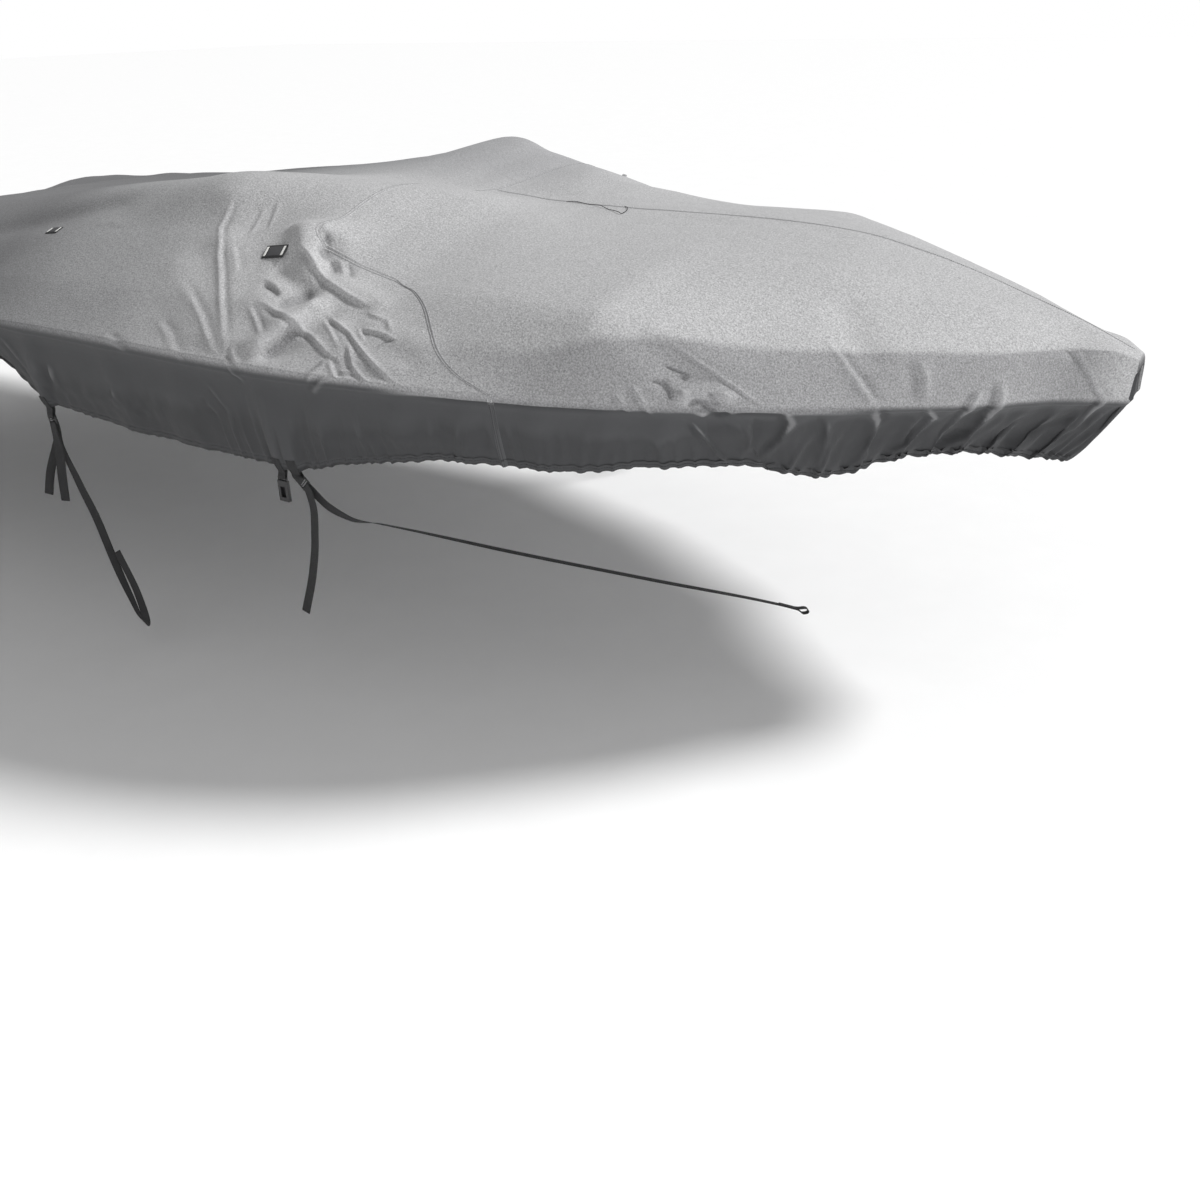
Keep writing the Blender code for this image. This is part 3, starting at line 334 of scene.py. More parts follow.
# Creases placed one by one: points (aft, across), width, height, and on which side a
# narrow trough follows the ridge (1 or -1, 0 for none).
creases = (
    # round the windshield corner
    (((1.926, -0.560), (1.907, -0.580), (1.836, -0.598), (1.794, -0.605), (1.704, -0.615), (1.616, -0.622)),
     0.012, 0.0060, 1),
    (((1.885, -0.535), (1.872, -0.553), (1.845, -0.578)), 0.011, -0.0110, 0),
    (((1.900, -0.520), (1.880, -0.545), (1.865, -0.570)), 0.012, 0.0050, 0),
    (((1.835, -0.570), (1.800, -0.585)), 0.009, -0.0040, 0),
    (((1.815, -0.562), (1.778, -0.582)), 0.009, 0.0040, 0),
    (((1.790, -0.560), (1.750, -0.584)), 0.009, -0.0035, 0),
    (((1.950, -0.640), (1.912, -0.645), (1.870, -0.652)), 0.0080, -0.0085, 0),
    (((1.955, -0.633), (1.915, -0.638), (1.880, -0.643)), 0.0070, 0.0035, 0),
    (((1.925, -0.676), (1.900, -0.668), (1.860, -0.672), (1.791, -0.681), (1.731, -0.684), (1.634, -0.712),
      (1.582, -0.722)), 0.009, 0.0050, 1),
    (((1.822, -0.745), (1.800, -0.716), (1.780, -0.690), (1.757, -0.657)), 0.015, 0.0100, 0),
    (((1.798, -0.737), (1.780, -0.712), (1.760, -0.682)), 0.012, -0.0110, 0),
    (((1.855, -0.668), (1.830, -0.644), (1.812, -0.622)), 0.020, -0.0060, 0),
    (((1.745, -0.648), (1.704, -0.655), (1.617, -0.675), (1.590, -0.686), (1.498, -0.721), (1.408, -0.750)),
     0.009, 0.0050, 1),
    (((1.734, -0.654), (1.676, -0.676), (1.613, -0.702)), 0.009, 0.0035, -1),
    (((1.610, -0.662), (1.535, -0.667), (1.475, -0.678)), 0.009, 0.0040, 1),
    (((1.475, -0.678), (1.506, -0.687), (1.520, -0.700)), 0.008, 0.0030, 1),
    (((1.613, -0.662), (1.560, -0.687)), 0.008, 0.0028, -1),
    (((1.600, -0.692), (1.547, -0.727), (1.522, -0.738), (1.477, -0.755)), 0.009, 0.0040, 1),
    (((1.570, -0.741), (1.532, -0.734)), 0.008, 0.0040, 1),
    (((1.617, -0.724), (1.630, -0.748), (1.645, -0.775)), 0.010, 0.0045, 1),
    (((1.617, -0.722), (1.590, -0.738), (1.562, -0.756)), 0.009, 0.0040, -1),
    (((1.590, -0.752), (1.645, -0.800)), 0.010, 0.0045, 1),
    (((1.633, -0.631), (1.548, -0.643), (1.506, -0.666)), 0.010, 0.0025, 1),
    # long soft folds from the corner down to the rub rail
    (((2.235, -0.430), (2.211, -0.544), (2.143, -0.605), (2.035, -0.666), (1.909, -0.730), (1.877, -0.750)),
     0.012, 0.0045, -1),
    (((2.205, -0.650), (2.120, -0.675), (2.038, -0.701), (1.952, -0.733), (1.904, -0.748)),
     0.012, 0.0035, -1),
    (((2.178, -0.709), (2.099, -0.730), (2.036, -0.755), (2.004, -0.778)), 0.011, 0.0045, -1),
    (((1.930, -0.675), (1.883, -0.690), (1.811, -0.716)), 0.009, 0.0035, -1),
    (((1.889, -0.733), (1.860, -0.744), (1.832, -0.756)), 0.009, 0.0045, 1),
    (((2.139, -0.576), (2.038, -0.634)), 0.012, 0.0020, -1),
    (((2.137, -0.455), (2.118, -0.550)), 0.010, 0.0025, 1),
    (((2.113, -0.430), (2.078, -0.530)), 0.010, 0.0025, 1),
    # along the side and the skirt, further aft
    (((2.584, -0.850), (2.592, -0.900), (2.603, -0.965)), 0.012, 0.0060, 1),
    (((2.640, -0.845), (2.640, -0.900), (2.625, -0.970)), 0.012, 0.0055, -1),
    (((2.321, -0.870), (2.350, -0.920), (2.378, -0.975)), 0.011, 0.0045, 1),
    (((2.238, -0.885), (2.277, -0.955)), 0.011, 0.0045, -1),
    (((2.790, -0.820), (2.720, -0.880), (2.663, -0.935)), 0.013, 0.0050, 1),
    (((2.004, -0.840), (1.954, -0.895)), 0.009, 0.0030, 1),
    (((1.973, -0.818), (1.910, -0.878)), 0.009, 0.0030, 1),
    (((1.875, -0.760), (1.838, -0.795)), 0.009, 0.0040, 1),
    (((2.300, -0.747), (2.260, -0.757), (2.215, -0.772)), 0.012, 0.0050, -1),
    (((2.700, -0.534), (2.639, -0.521), (2.540, -0.542)), 0.024, 0.0016, 0),
    (((2.590, -0.690), (2.500, -0.696), (2.420, -0.695)), 0.026, 0.0013, 0),
    # fore shoulder and the bunched cloth by the rail
    (((0.885, -0.570), (0.831, -0.605), (0.778, -0.646), (0.726, -0.701), (0.675, -0.757)), 0.008, 0.0030, 1),
    (((0.880, -0.640), (0.850, -0.650), (0.832, -0.656), (0.832, -0.682)), 0.0080, -0.0046, 0),
    (((0.900, -0.690), (0.870, -0.690), (0.856, -0.715), (0.846, -0.742)), 0.0095, -0.0066, 0),
    (((0.835, -0.700), (0.825, -0.730), (0.812, -0.765)), 0.013, 0.0065, 0),
    (((0.818, -0.765), (0.805, -0.738), (0.788, -0.742), (0.773, -0.764), (0.769, -0.792)),
     0.009, -0.0070, 0),
    (((0.790, -0.765), (0.788, -0.790)), 0.013, 0.0060, 0),
    (((0.770, -0.790), (0.737, -0.776)), 0.009, -0.0060, 0),
    (((0.790, -0.705), (0.757, -0.757)), 0.010, -0.0040, 0),
    (((0.765, -0.700), (0.730, -0.752)), 0.012, 0.0045, 0),
    (((0.930, -0.700), (0.900, -0.745), (0.880, -0.800)), 0.011, 0.0035, 1),
    (((0.960, -0.725), (0.935, -0.760), (0.925, -0.790)), 0.010, 0.0030, 1),
    (((0.815, -0.800), (0.785, -0.880), (0.763, -0.949), (0.745, -0.990)), 0.009, 0.0060, 1),
    (((1.420, -0.781), (1.100, -0.782), (0.880, -0.781)), 0.0055, -0.0045, 0),
    (((0.740, -0.780), (0.640, -0.781)), 0.0055, -0.0045, 0),
    (((1.906, 0.538), (1.894, 0.550)), 0.026, 0.0150, 0),
    # darts of the bow
    (((0.600, -0.520), (0.563, -0.579), (0.520, -0.663), (0.479, -0.755)), 0.013, 0.0045, -1),
    (((0.479, -0.755), (0.471, -0.806), (0.480, -0.860), (0.505, -0.928)), 0.013, 0.0085, -1),
    (((0.418, -0.575), (0.396, -0.660), (0.387, -0.755)), 0.018, 0.0045, 1),
    (((0.387, -0.755), (0.364, -0.810), (0.400, -0.890), (0.448, -0.962)), 0.013, 0.0090, 1),
    (((0.290, -0.690), (0.300, -0.750), (0.309, -0.793), (0.350, -0.900)), 0.012, 0.0060, 1),
    (((0.256, -0.665), (0.251, -0.747), (0.266, -0.814), (0.300, -0.900), (0.344, -0.979)), 0.013, 0.0080, 1),
    (((0.145, -0.530), (0.120, -0.600), (0.090, -0.663), (0.054, -0.747), (0.062, -0.869), (0.128, -0.987)),
     0.011, 0.0060, 1),
    (((0.285, -0.840), (0.320, -0.905), (0.356, -0.975)), 0.012, -0.0080, 0),
    (((0.177, -0.814), (0.215, -0.880), (0.258, -0.950)), 0.012, -0.0080, 0),
    (((0.136, -0.802), (0.170, -0.870), (0.206, -0.950)), 0.011, -0.0070, 0),
    (((0.078, -0.802), (0.115, -0.855), (0.165, -0.915)), 0.011, -0.0070, 0),
    (((0.639, -0.759), (0.628, -0.806), (0.650, -0.870), (0.683, -0.945)), 0.012, 0.0075, 1),
    (((0.560, -0.780), (0.565, -0.860), (0.590, -0.960)), 0.012, 0.0060, 1),
    (((0.700, -0.790), (0.705, -0.860), (0.720, -0.950)), 0.011, 0.0045, -1),
)


crispness = {"reach": 5, "troughed": 0.62, "plain": 0.85, "height": 1.25, "taper": 0.3, "tip": 0.12,
             "power": 1.5, "dip": 0.60, "dipAside": 1.5, "dipWidth": 1.2}


def creaseHeight(aft, across):
    height = np.zeros_like(aft)
    u = spread(across)
    for path, width, rise, trough in creases:
        points = np.array(path, float)
        points[:, 1] = spread(points[:, 1])
        reach = crispness["reach"] * width
        low, high = points.min(0) - reach, points.max(0) + reach
        near = np.where((aft > low[0]) & (aft < high[0]) & (u > low[1]) & (u < high[1]))[0]
        if not len(near):
            continue
        p = np.stack([aft[near], u[near]], 1)
        runs = np.linalg.norm(np.diff(points, axis=0), axis=1)
        total = runs.sum()
        best = np.full(len(p), 1e9)
        aside, along, start = np.zeros(len(p)), np.zeros(len(p)), 0.0
        for a, b, run in zip(points[:-1], points[1:], runs):
            way = (b - a) / run
            t = np.clip((p - a) @ way, 0.0, run)
            gap = p - a - t[:, None] * way
            away = np.linalg.norm(gap, axis=1)
            closer = away < best
            best[closer] = away[closer]
            aside[closer] = (way[0] * gap[:, 1] - way[1] * gap[:, 0])[closer]
            along[closer] = (start + t)[closer]
            start += run
        taper = ease(np.minimum(along, total - along) / (crispness["taper"] * total) + crispness["tip"])
        sharp = width * crispness["troughed" if trough else "plain"]
        shape = np.exp(-np.abs(best / sharp) ** crispness["power"])
        if trough:
            dip = hump(aside * trough - crispness["dipAside"] * sharp, crispness["dipWidth"] * sharp)
            shape -= crispness["dip"] * dip * (best < reach)
        height[near] += rise * crispness["height"] * shape * taper
    return height


gathers = {"seed": 11, "start": 0.01, "pitch": (0.020, 0.044), "width": (0.0055, 0.010),
           "height": (0.0034, 0.0066), "reach": (0.25, 0.80), "lean": (-0.02, 0.05), "near": 0.16,
           "grown": 0.55, "sink": 0.35, "share": 0.8}
bowGathers = {"until": 0.66, "pitch": (0.017, 0.034), "width": (0.0055, 0.0095), "height": (0.0050, 0.0090),
              "reach": (0.75, 1.05), "lean": (0.050, 0.110)}
# The channel round the elastic, its row of stitches, and the flat places behind the tabs.
channel = {"at": 0.93, "out": 0.0016, "rise": 0.02, "until": 1.02, "fall": 0.03, "groove": 0.8,
           "grooveHalf": 0.010, "tabHalf": 0.020}


def gatherRows(side):                # small gathers that the elastic makes along the hem
    draw = random.Random(gathers["seed"] + side)
    rows, place = [], gathers["start"]
    while place < drape["length"]:
        size = bowGathers if place < bowGathers["until"] else gathers
        rows.append((place, draw.uniform(*size["width"]), draw.uniform(*size["height"]),
                     draw.uniform(*size["reach"]), draw.uniform(*size["lean"])))
        place += draw.uniform(*size["pitch"])
    return rows


tabPlaces = {-1: (1.752, 1.796, 2.664), 1: (1.765, 2.655)}


def gatherHeight(aft, down, side):
    height = np.zeros_like(aft)
    for place, width, rise, reach, lean in gatherRows(side):
        near = np.where(np.abs(aft - place) < gathers["near"])[0]
        if not len(near):
            continue
        away = aft[near] - place - lean * (down[near] - 1)
        grow = ease((down[near] - (1 - reach)) / (gathers["grown"] * reach))
        height[near] += rise * grow * (hump(away, width) - gathers["sink"])
    past = down - channel["at"]
    full = ease(past / channel["rise"]) * ease((channel["until"] - down) / channel["fall"])
    groove = channel["groove"] * hump(past, channel["grooveHalf"])
    flat = np.ones_like(aft)
    for place in tabPlaces[side]:
        flat -= np.exp(-((aft - place) / channel["tabHalf"]) ** 4)
    return (height * gathers["share"] + channel["out"] * (full - groove)) * np.clip(flat, 0, 1)


ripples = {"seed": 5, "count": 46, "height": 0.0011, "wave": (9.0, 42.0), "aft": (0.2, 5.2),
           "across": (-1.2, 1.2), "reach": (0.25, 0.7)}


def rippleHeight(aft, across):       # faint unevenness of cloth that lies slack
    draw = random.Random(ripples["seed"])
    u = spread(across)
    height = np.zeros_like(aft)
    for _ in range(ripples["count"]):
        wave = draw.uniform(*ripples["wave"])
        turn = draw.uniform(0, math.pi)
        phase = draw.uniform(0, 2 * math.pi)
        centre = draw.uniform(*ripples["aft"]), draw.uniform(*ripples["across"])
        reach = draw.uniform(*ripples["reach"])
        there = np.exp(-((aft - centre[0]) ** 2 + (u - centre[1]) ** 2) / reach ** 2)
        height += there * np.sin(wave * (math.cos(turn) * aft + math.sin(turn) * u) + phase)
    return ripples["height"] * height


def clothPoints(line, across, lift=0.0):
    line, across = (x.copy() for x in np.broadcast_arrays(np.asarray(line, float), np.asarray(across, float)))
    v, down = split(across)
    aft = swept(line, v)
    normal = clothNormals(line, across)
    calm = ease(aft / drape["bowCalm"]) * ease((drape["length"] - aft) / drape["sternCalm"])
    ripple = rippleHeight(aft, across) * calm
    height = creaseHeight(aft, across) * calm
    for side, low in lowSides(across, down):
        height[low] += gatherHeight(aft[low], down[low], side)
    points = clothBase(line, across) + normal * (height + ripple + lift)[:, None]
    return points, normal, aft, down, height


clothLook = {
    # painted shade along the cover: the light tone at the bow, mid and dark further aft
    "light": (0.46, 0.46, 0.465), "mid": (0.310, 0.312, 0.317), "dark": (0.130, 0.131, 0.135),
    "lightUntil": 0.10, "darkFrom": -0.79, "midAt": 0.45, "patchy": (1.3, 4.0), "patchReach": 0.5,
    "mottle": (9.0, 5.0, 0.6), "mottleShare": 0.22, "mottled": (0.22, 0.22, 0.23),
    "speck": (240.0, 2.0, 0.7),
    "speckle": ((0.30, (0.62, 0.62, 0.62)), (0.50, (0.98, 0.98, 0.98)), (0.70, (1.36, 1.36, 1.36))),
    # painted shade on the port side, from the windshield aft
    "port": (0.85, 0.85, 0.86), "portEdge": 0.05, "portRise": 3.0, "portUntil": 0.62, "portFade": 2.5,
    # painted shade on the steep side below the shoulder, and on the skirt below the rub rail
    "facet": (0.66, 0.66, 0.665), "skirt": (0.055, 0.056, 0.059),
    # painted shade in crease troughs and a painted highlight on crease ridges
    "trough": (0.30, 0.30, 0.31), "troughShare": -0.42, "rubbed": (0.52, 0.52, 0.53), "rubbedShare": 0.20,
    "roughness": 0.82, "specular": 0.35, "sheen": 0.10, "sheenRoughness": 0.6,
    "weave": 0.00055, "weaveWave": (0.5, 0.4), "weaveRelief": (0.35, 0.00012),
    "wrinkle": (55.0, 4.0, 0.65), "wrinkleRelief": (0.5, 0.0016),
    "drops": 105.0, "drop": ((0.12, (1, 1, 1)), (0.30, (0, 0, 0))), "wet": 22.0, "dropRelief": (0.6, 0.0014),
}
webbingLook = {"colour": (0.013, 0.013, 0.014), "dusty": (0.05, 0.05, 0.052), "dust": (60.0, 4.0),
               "dustShare": 0.35, "rib": 0.0016, "along": (0.5, 0.3), "across": (0.32, 0.6),
               "roughness": 0.62, "relief": (0.8, 0.0003)}
plasticLook = {"colour": (0.014, 0.014, 0.015), "worn": (0.04, 0.04, 0.042), "wear": (80.0, 4.0),
               "wearShare": 0.3, "roughness": 0.28, "wearRoughness": 0.2, "grain": (900.0, 2.0),
               "relief": (0.25, 0.0002)}
# dark is the loose thread's black, and painted shade for the stitches on the skirt
threadLook = {"grey": (0.140, 0.140, 0.145), "pale": (0.70, 0.70, 0.68), "dark": (0.006, 0.006, 0.007),
              "middle": (0.075, 0.075, 0.078), "paler": 1.35, "lift": 0.002, "twist": (700.0, 2.0),
              "roughness": 0.9, "specular": 0.12, "relief": (0.4, 0.0002)}


def newMaterial(name, roughness):
    material = bpy.data.materials.new(name)
    material.use_nodes = True
    shader = material.node_tree.nodes["Principled BSDF"]
    shader.inputs["Roughness"].default_value = roughness
    return material, material.node_tree, shader


def addNode(tree, kind, **settings):
    node = tree.nodes.new(kind)
    for key, value in settings.items():
        if key.startswith("in_"):
            node.inputs[key[3:]].default_value = value
        else:
            setattr(node, key, value)
    return node


def ramp(tree, source, stops):
    node = tree.nodes.new("ShaderNodeValToRGB")
    for element, (place, colour) in zip(node.color_ramp.elements, (stops[0], stops[-1])):
        element.position = place
        element.color = (*colour, 1)
    for place, colour in stops[1:-1]:
        node.color_ramp.elements.new(place).color = (*colour, 1)
    tree.links.new(source, node.inputs["Fac"])
    return node.outputs["Color"]


def mixColour(tree, amount, first, second, how="MIX"):
    node = tree.nodes.new("ShaderNodeMix")
    node.data_type = "RGBA"
    node.blend_type = how
    for socket, value in (("Factor", amount), ("A", first), ("B", second)):
        place = next(s for s in node.inputs if s.name == socket and s.enabled)
        if isinstance(value, (int, float)):
            place.default_value = value
        elif isinstance(value, tuple):
            place.default_value = (*value, 1)
        else:
            tree.links.new(value, place)
    return next(s for s in node.outputs if s.enabled)


def tinted(tree, colour, tint):
    return mixColour(tree, 1.0, colour, tint, "MULTIPLY")


def maths(tree, how, first, second=0.0, clamp=False):
    node = addNode(tree, "ShaderNodeMath", operation=how, use_clamp=clamp)
    for i, value in enumerate((first, second)):
        if isinstance(value, (int, float)):
            node.inputs[i].default_value = value
        else:
            tree.links.new(value, node.inputs[i])
    return node.outputs[0]


def noiseOf(tree, vector, scale, detail=3.0, rough=0.55):
    node = addNode(tree, "ShaderNodeTexNoise", in_Scale=scale, in_Detail=detail, in_Roughness=rough)
    tree.links.new(vector, node.inputs["Vector"])
    return node.outputs["Fac"]


def waveOf(tree, vector, axis, scale, distortion):
    node = addNode(tree, "ShaderNodeTexWave", bands_direction=axis, in_Scale=scale, in_Distortion=distortion)
    tree.links.new(vector, node.inputs["Vector"])
    return node.outputs["Fac"]


def objectPlace(tree):
    return tree.nodes.new("ShaderNodeTexCoord").outputs["Object"]


def fibrePlace(tree, pitch):         # the place on the flat cloth, counted in threads
    fibre = addNode(tree, "ShaderNodeUVMap", uv_map="cloth").outputs["UV"]
    threads = addNode(tree, "ShaderNodeMapping", in_Scale=(1 / pitch,) * 3)
    tree.links.new(fibre, threads.inputs["Vector"])
    return threads.outputs[0]


def addBump(tree, height, strength, distance, under=None):
    node = addNode(tree, "ShaderNodeBump", in_Strength=strength, in_Distance=distance)
    tree.links.new(height, node.inputs["Height"])
    if under:
        tree.links.new(under, node.inputs["Normal"])
    return node.outputs[0]


def paint(tree, shader, colour, relief):
    tree.links.new(colour, shader.inputs["Base Color"])
    tree.links.new(relief, shader.inputs["Normal"])


def clothColour(tree, place, where, shade):
    look = clothLook
    axes = tree.nodes.new("ShaderNodeSeparateXYZ")
    tree.links.new(place, axes.inputs[0])
    # painted shade: the cloth darker further aft
    base = ramp(tree, where, ((0.0, look["dark"]), (look["midAt"], look["mid"]), (1.0, look["light"])))
    mottle = maths(tree, "MULTIPLY", noiseOf(tree, place, *look["mottle"]), look["mottleShare"])
    base = mixColour(tree, mottle, base, look["mottled"])
    base = tinted(tree, base, ramp(tree, noiseOf(tree, place, *look["speck"]), look["speckle"]))
    # painted shade on the port side, from the windshield aft
    portShadeAcross = maths(tree, "ADD", axes.outputs["Y"], look["portEdge"])
    portShadeAcross = maths(tree, "MULTIPLY", portShadeAcross, look["portRise"], True)
    portShadeAft = maths(tree, "SUBTRACT", look["portUntil"], axes.outputs["X"])
    portShadeAft = maths(tree, "MULTIPLY", portShadeAft, look["portFade"], True)
    base = mixColour(tree, maths(tree, "MULTIPLY", portShadeAcross, portShadeAft), base, tinted(tree, base, look["port"]))
    # painted shade on the steep side below the shoulder
    steepShade = addNode(tree, "ShaderNodeAttribute", attribute_name="facet").outputs["Fac"]
    base = mixColour(tree, steepShade, base, tinted(tree, base, look["facet"]))
    # painted shade on the skirt below the rub rail
    base = mixColour(tree, shade, base, look["skirt"])
    # painted shade in the crease troughs, a painted highlight on the ridges
    worn = addNode(tree, "ShaderNodeAttribute", attribute_name="crease").outputs["Fac"]
    shadowed = maths(tree, "MULTIPLY", worn, look["troughShare"], True)
    base = mixColour(tree, shadowed, base, tinted(tree, base, look["trough"]))
    rubbed = maths(tree, "MULTIPLY", worn, look["rubbedShare"], True)
    return mixColour(tree, rubbed, base, look["rubbed"])


def clothRelief(tree, place, where, shade):
    look = clothLook
    threads = fibrePlace(tree, look["weave"])
    warp, weft = (waveOf(tree, threads, axis, *look["weaveWave"]) for axis in "XY")
    drops = addNode(tree, "ShaderNodeTexVoronoi", in_Scale=look["drops"], in_Randomness=1.0)
    tree.links.new(place, drops.inputs["Vector"])
    bead = ramp(tree, drops.outputs["Distance"], look["drop"])
    wet = maths(tree, "GREATER_THAN", noiseOf(tree, place, look["wet"]), 0.5)
    bead = maths(tree, "MULTIPLY", bead, maths(tree, "MULTIPLY", where, wet))
    bead = maths(tree, "MULTIPLY", bead, maths(tree, "SUBTRACT", 1.0, shade))
    relief = addBump(tree, maths(tree, "MULTIPLY", warp, weft), *look["weaveRelief"])
    relief = addBump(tree, noiseOf(tree, place, *look["wrinkle"]), *look["wrinkleRelief"], relief)
    return addBump(tree, bead, *look["dropRelief"], relief)


def clothMaterial():                 # painted shade: paler at the bow, darker further aft; wet drops towards the bow
    look = clothLook
    material, tree, shader = newMaterial("coated polyester", look["roughness"])
    place = objectPlace(tree)
    axes = tree.nodes.new("ShaderNodeSeparateXYZ")
    tree.links.new(place, axes.inputs[0])
    # painted shade: where runs from the darker aft to the paler bow, with a patchy edge; the drops follow it
    patchy = maths(tree, "SUBTRACT", noiseOf(tree, place, *look["patchy"]), 0.5)
    forward = maths(tree, "ADD", axes.outputs["X"], maths(tree, "MULTIPLY", patchy, look["patchReach"]))
    span = look["lightUntil"] - look["darkFrom"]
    where = maths(tree, "DIVIDE", maths(tree, "SUBTRACT", forward, look["darkFrom"]), span, True)
    # painted shade below the rub rail
    shade = addNode(tree, "ShaderNodeAttribute", attribute_name="underRail").outputs["Fac"]
    paint(tree, shader, clothColour(tree, place, where, shade), clothRelief(tree, place, where, shade))
    shader.inputs["Sheen Weight"].default_value = look["sheen"]
    shader.inputs["Sheen Roughness"].default_value = look["sheenRoughness"]
    shader.inputs["Specular IOR Level"].default_value = look["specular"]
    return material


def webbingMaterial():
    look = webbingLook
    material, tree, shader = newMaterial("black webbing", look["roughness"])
    ribs = fibrePlace(tree, look["rib"])
    along, across = (waveOf(tree, ribs, axis, *look[key]) for axis, key in (("X", "along"), ("Y", "across")))
    dust = maths(tree, "MULTIPLY", noiseOf(tree, objectPlace(tree), *look["dust"]), look["dustShare"])
    colour = mixColour(tree, dust, look["colour"], look["dusty"])
    paint(tree, shader, colour, addBump(tree, maths(tree, "ADD", along, across), *look["relief"]))
    return material


def plasticMaterial():
    look = plasticLook
    material, tree, shader = newMaterial("moulded black plastic", look["roughness"])
    place = objectPlace(tree)
    wear = noiseOf(tree, place, *look["wear"])
    colour = mixColour(tree, maths(tree, "MULTIPLY", wear, look["wearShare"]), look["colour"], look["worn"])
    rougher = maths(tree, "MULTIPLY", wear, look["wearRoughness"])
    tree.links.new(maths(tree, "ADD", rougher, look["roughness"]), shader.inputs["Roughness"])
    paint(tree, shader, colour, addBump(tree, noiseOf(tree, place, *look["grain"]), *look["relief"]))
    return material


def threadMaterial(name, colour):
    look = threadLook
    material, tree, shader = newMaterial(name, look["roughness"])
    shader.inputs["Specular IOR Level"].default_value = look["specular"]
    twist = noiseOf(tree, objectPlace(tree), *look["twist"])
    paler = tuple(min(1.0, c * look["paler"] + look["lift"]) for c in colour)
    paint(tree, shader, mixColour(tree, twist, colour, paler), addBump(tree, twist, *look["relief"]))
    return material


clothFinish = clothMaterial()
webbingFinish = webbingMaterial()
plasticFinish = plasticMaterial()
greyThread = threadMaterial("grey thread", threadLook["grey"])
paleThread = threadMaterial("pale thread", threadLook["pale"])
darkThread = threadMaterial("dark thread", threadLook["dark"])
darkGreyFinish = threadMaterial("dark grey webbing", threadLook["middle"])
print("materials made")


def addObject(name, data):
    thing = bpy.data.objects.new(name, data)
    bpy.context.scene.collection.objects.link(thing)
    return thing


def makeMesh(name, points, faces, material, uv=None, extras=None, isSmooth=True):
    mesh = bpy.data.meshes.new(name)
    mesh.from_pydata([tuple(p) for p in points], [], [tuple(f) for f in faces])
    mesh.update()
    if uv is not None:
        layer = mesh.uv_layers.new(name="cloth")
        corners = np.zeros(len(mesh.loops), int)
        mesh.loops.foreach_get("vertex_index", corners)
        layer.data.foreach_set("uv", np.asarray(uv, np.float32)[corners].ravel())
    for key, values in (extras or {}).items():
        attribute = mesh.attributes.new(key, "FLOAT", "POINT")
        attribute.data.foreach_set("value", np.asarray(values, np.float32))
    mesh.polygons.foreach_set("use_smooth", [isSmooth] * len(mesh.polygons))
    mesh.materials.append(material)
    return addObject(name, mesh)


def facedOut(thing, face, way):      # turns the mesh over if this face looks against its way out
    if face.normal.dot(Vector(way)) < 0:
        thing.data.flip_normals()
    return thing


def tubeFaces(rings, count, hasStart=True):
    faces = []
    for i in range(rings - 1):
        for j in range(count):
            k = (j + 1) % count
            faces.append((i * count + j, i * count + k, (i + 1) * count + k, (i + 1) * count + j))
    if hasStart:
        faces.append(tuple(range(count))[::-1])
    faces.append(tuple((rings - 1) * count + j for j in range(count)))
    return faces


def runAlong(points):                # how far along its line each point lies
    return np.concatenate([[0], np.cumsum(np.linalg.norm(np.diff(points, axis=0), axis=1))])


def camel(node):                     # a frame node's name as a piece's name
    words = node.split("_")
    return words[0] + "".join(word.title() for word in words[1:])


def stations(stops):                 # places from rows of (from, to, spacing)
    places = []
    for low, high, gap in stops:
        count = max(1, round((high - low) / gap))
        places.extend(low + (high - low) * np.arange(count) / count)
    return np.array(places + [stops[-1][1]])


grids = {
    "lines": ((0.0, 1.15, 0.0050), (1.15, 1.45, 0.0065), (1.45, 1.63, 0.0040), (1.63, 1.90, 0.0040),
              (1.90, 2.30, 0.0042), (2.30, 3.00, 0.0125), (3.00, 5.40, 0.0300)),
    "starboard": ((0.0, 0.45, 0.0100), (0.45, 0.555, 0.0044), (0.555, 0.75, 0.0022)),
    "port": ((0.0, 0.48, 0.0220), (0.48, 0.555, 0.0094), (0.555, 0.60, 0.0090), (0.60, 0.75, 0.0130)),
    "skirt": ((0.0, 0.15, 0.0167), (0.15, 0.90, 0.0260), (0.90, 1.00, 0.0125)),
}
hemTurn = {"bead": 0.0027, "turns": 6, "up": (0.006, 0.014, 0.022), "step": 0.003}


def turnedRows(last, before, normal):    # the hem's edge goes round its elastic and up inside
    down = units(last - before)
    reach = hemTurn["bead"]
    rows = []
    for i in range(1, hemTurn["turns"] + 1):
        angle = math.pi * i / hemTurn["turns"]
        rows.append(last + normal * (reach * math.cos(angle) - reach) + down * reach * math.sin(angle))
    for up in hemTurn["up"]:
        rows.append(last - normal * 2 * reach - down * up)
    return rows


skirtDowns = stations(grids["skirt"])[1:]


def columnPlaces():
    rub = drape["rubV"]
    skirt = rub + (1 - rub) * skirtDowns
    starboard = np.concatenate([stations(grids["starboard"]), skirt])
    port = np.concatenate([stations(grids["port"]), skirt])
    return np.concatenate([-starboard[::-1][:-1], port])


# The two ends: how far the foot and the middle bow out, and the height and rate of their waves.
nose = {"foot": 0.02, "stand": 0.006, "standUp": 0.1, "wave": 0.004, "waves": 31, "grown": 0.5}
transom = {"foot": -0.01, "stand": 0.010, "wave": 0.0045, "waves": 47, "shift": 3, "shifts": 9,
           "from": 0.3, "grown": 0.6}


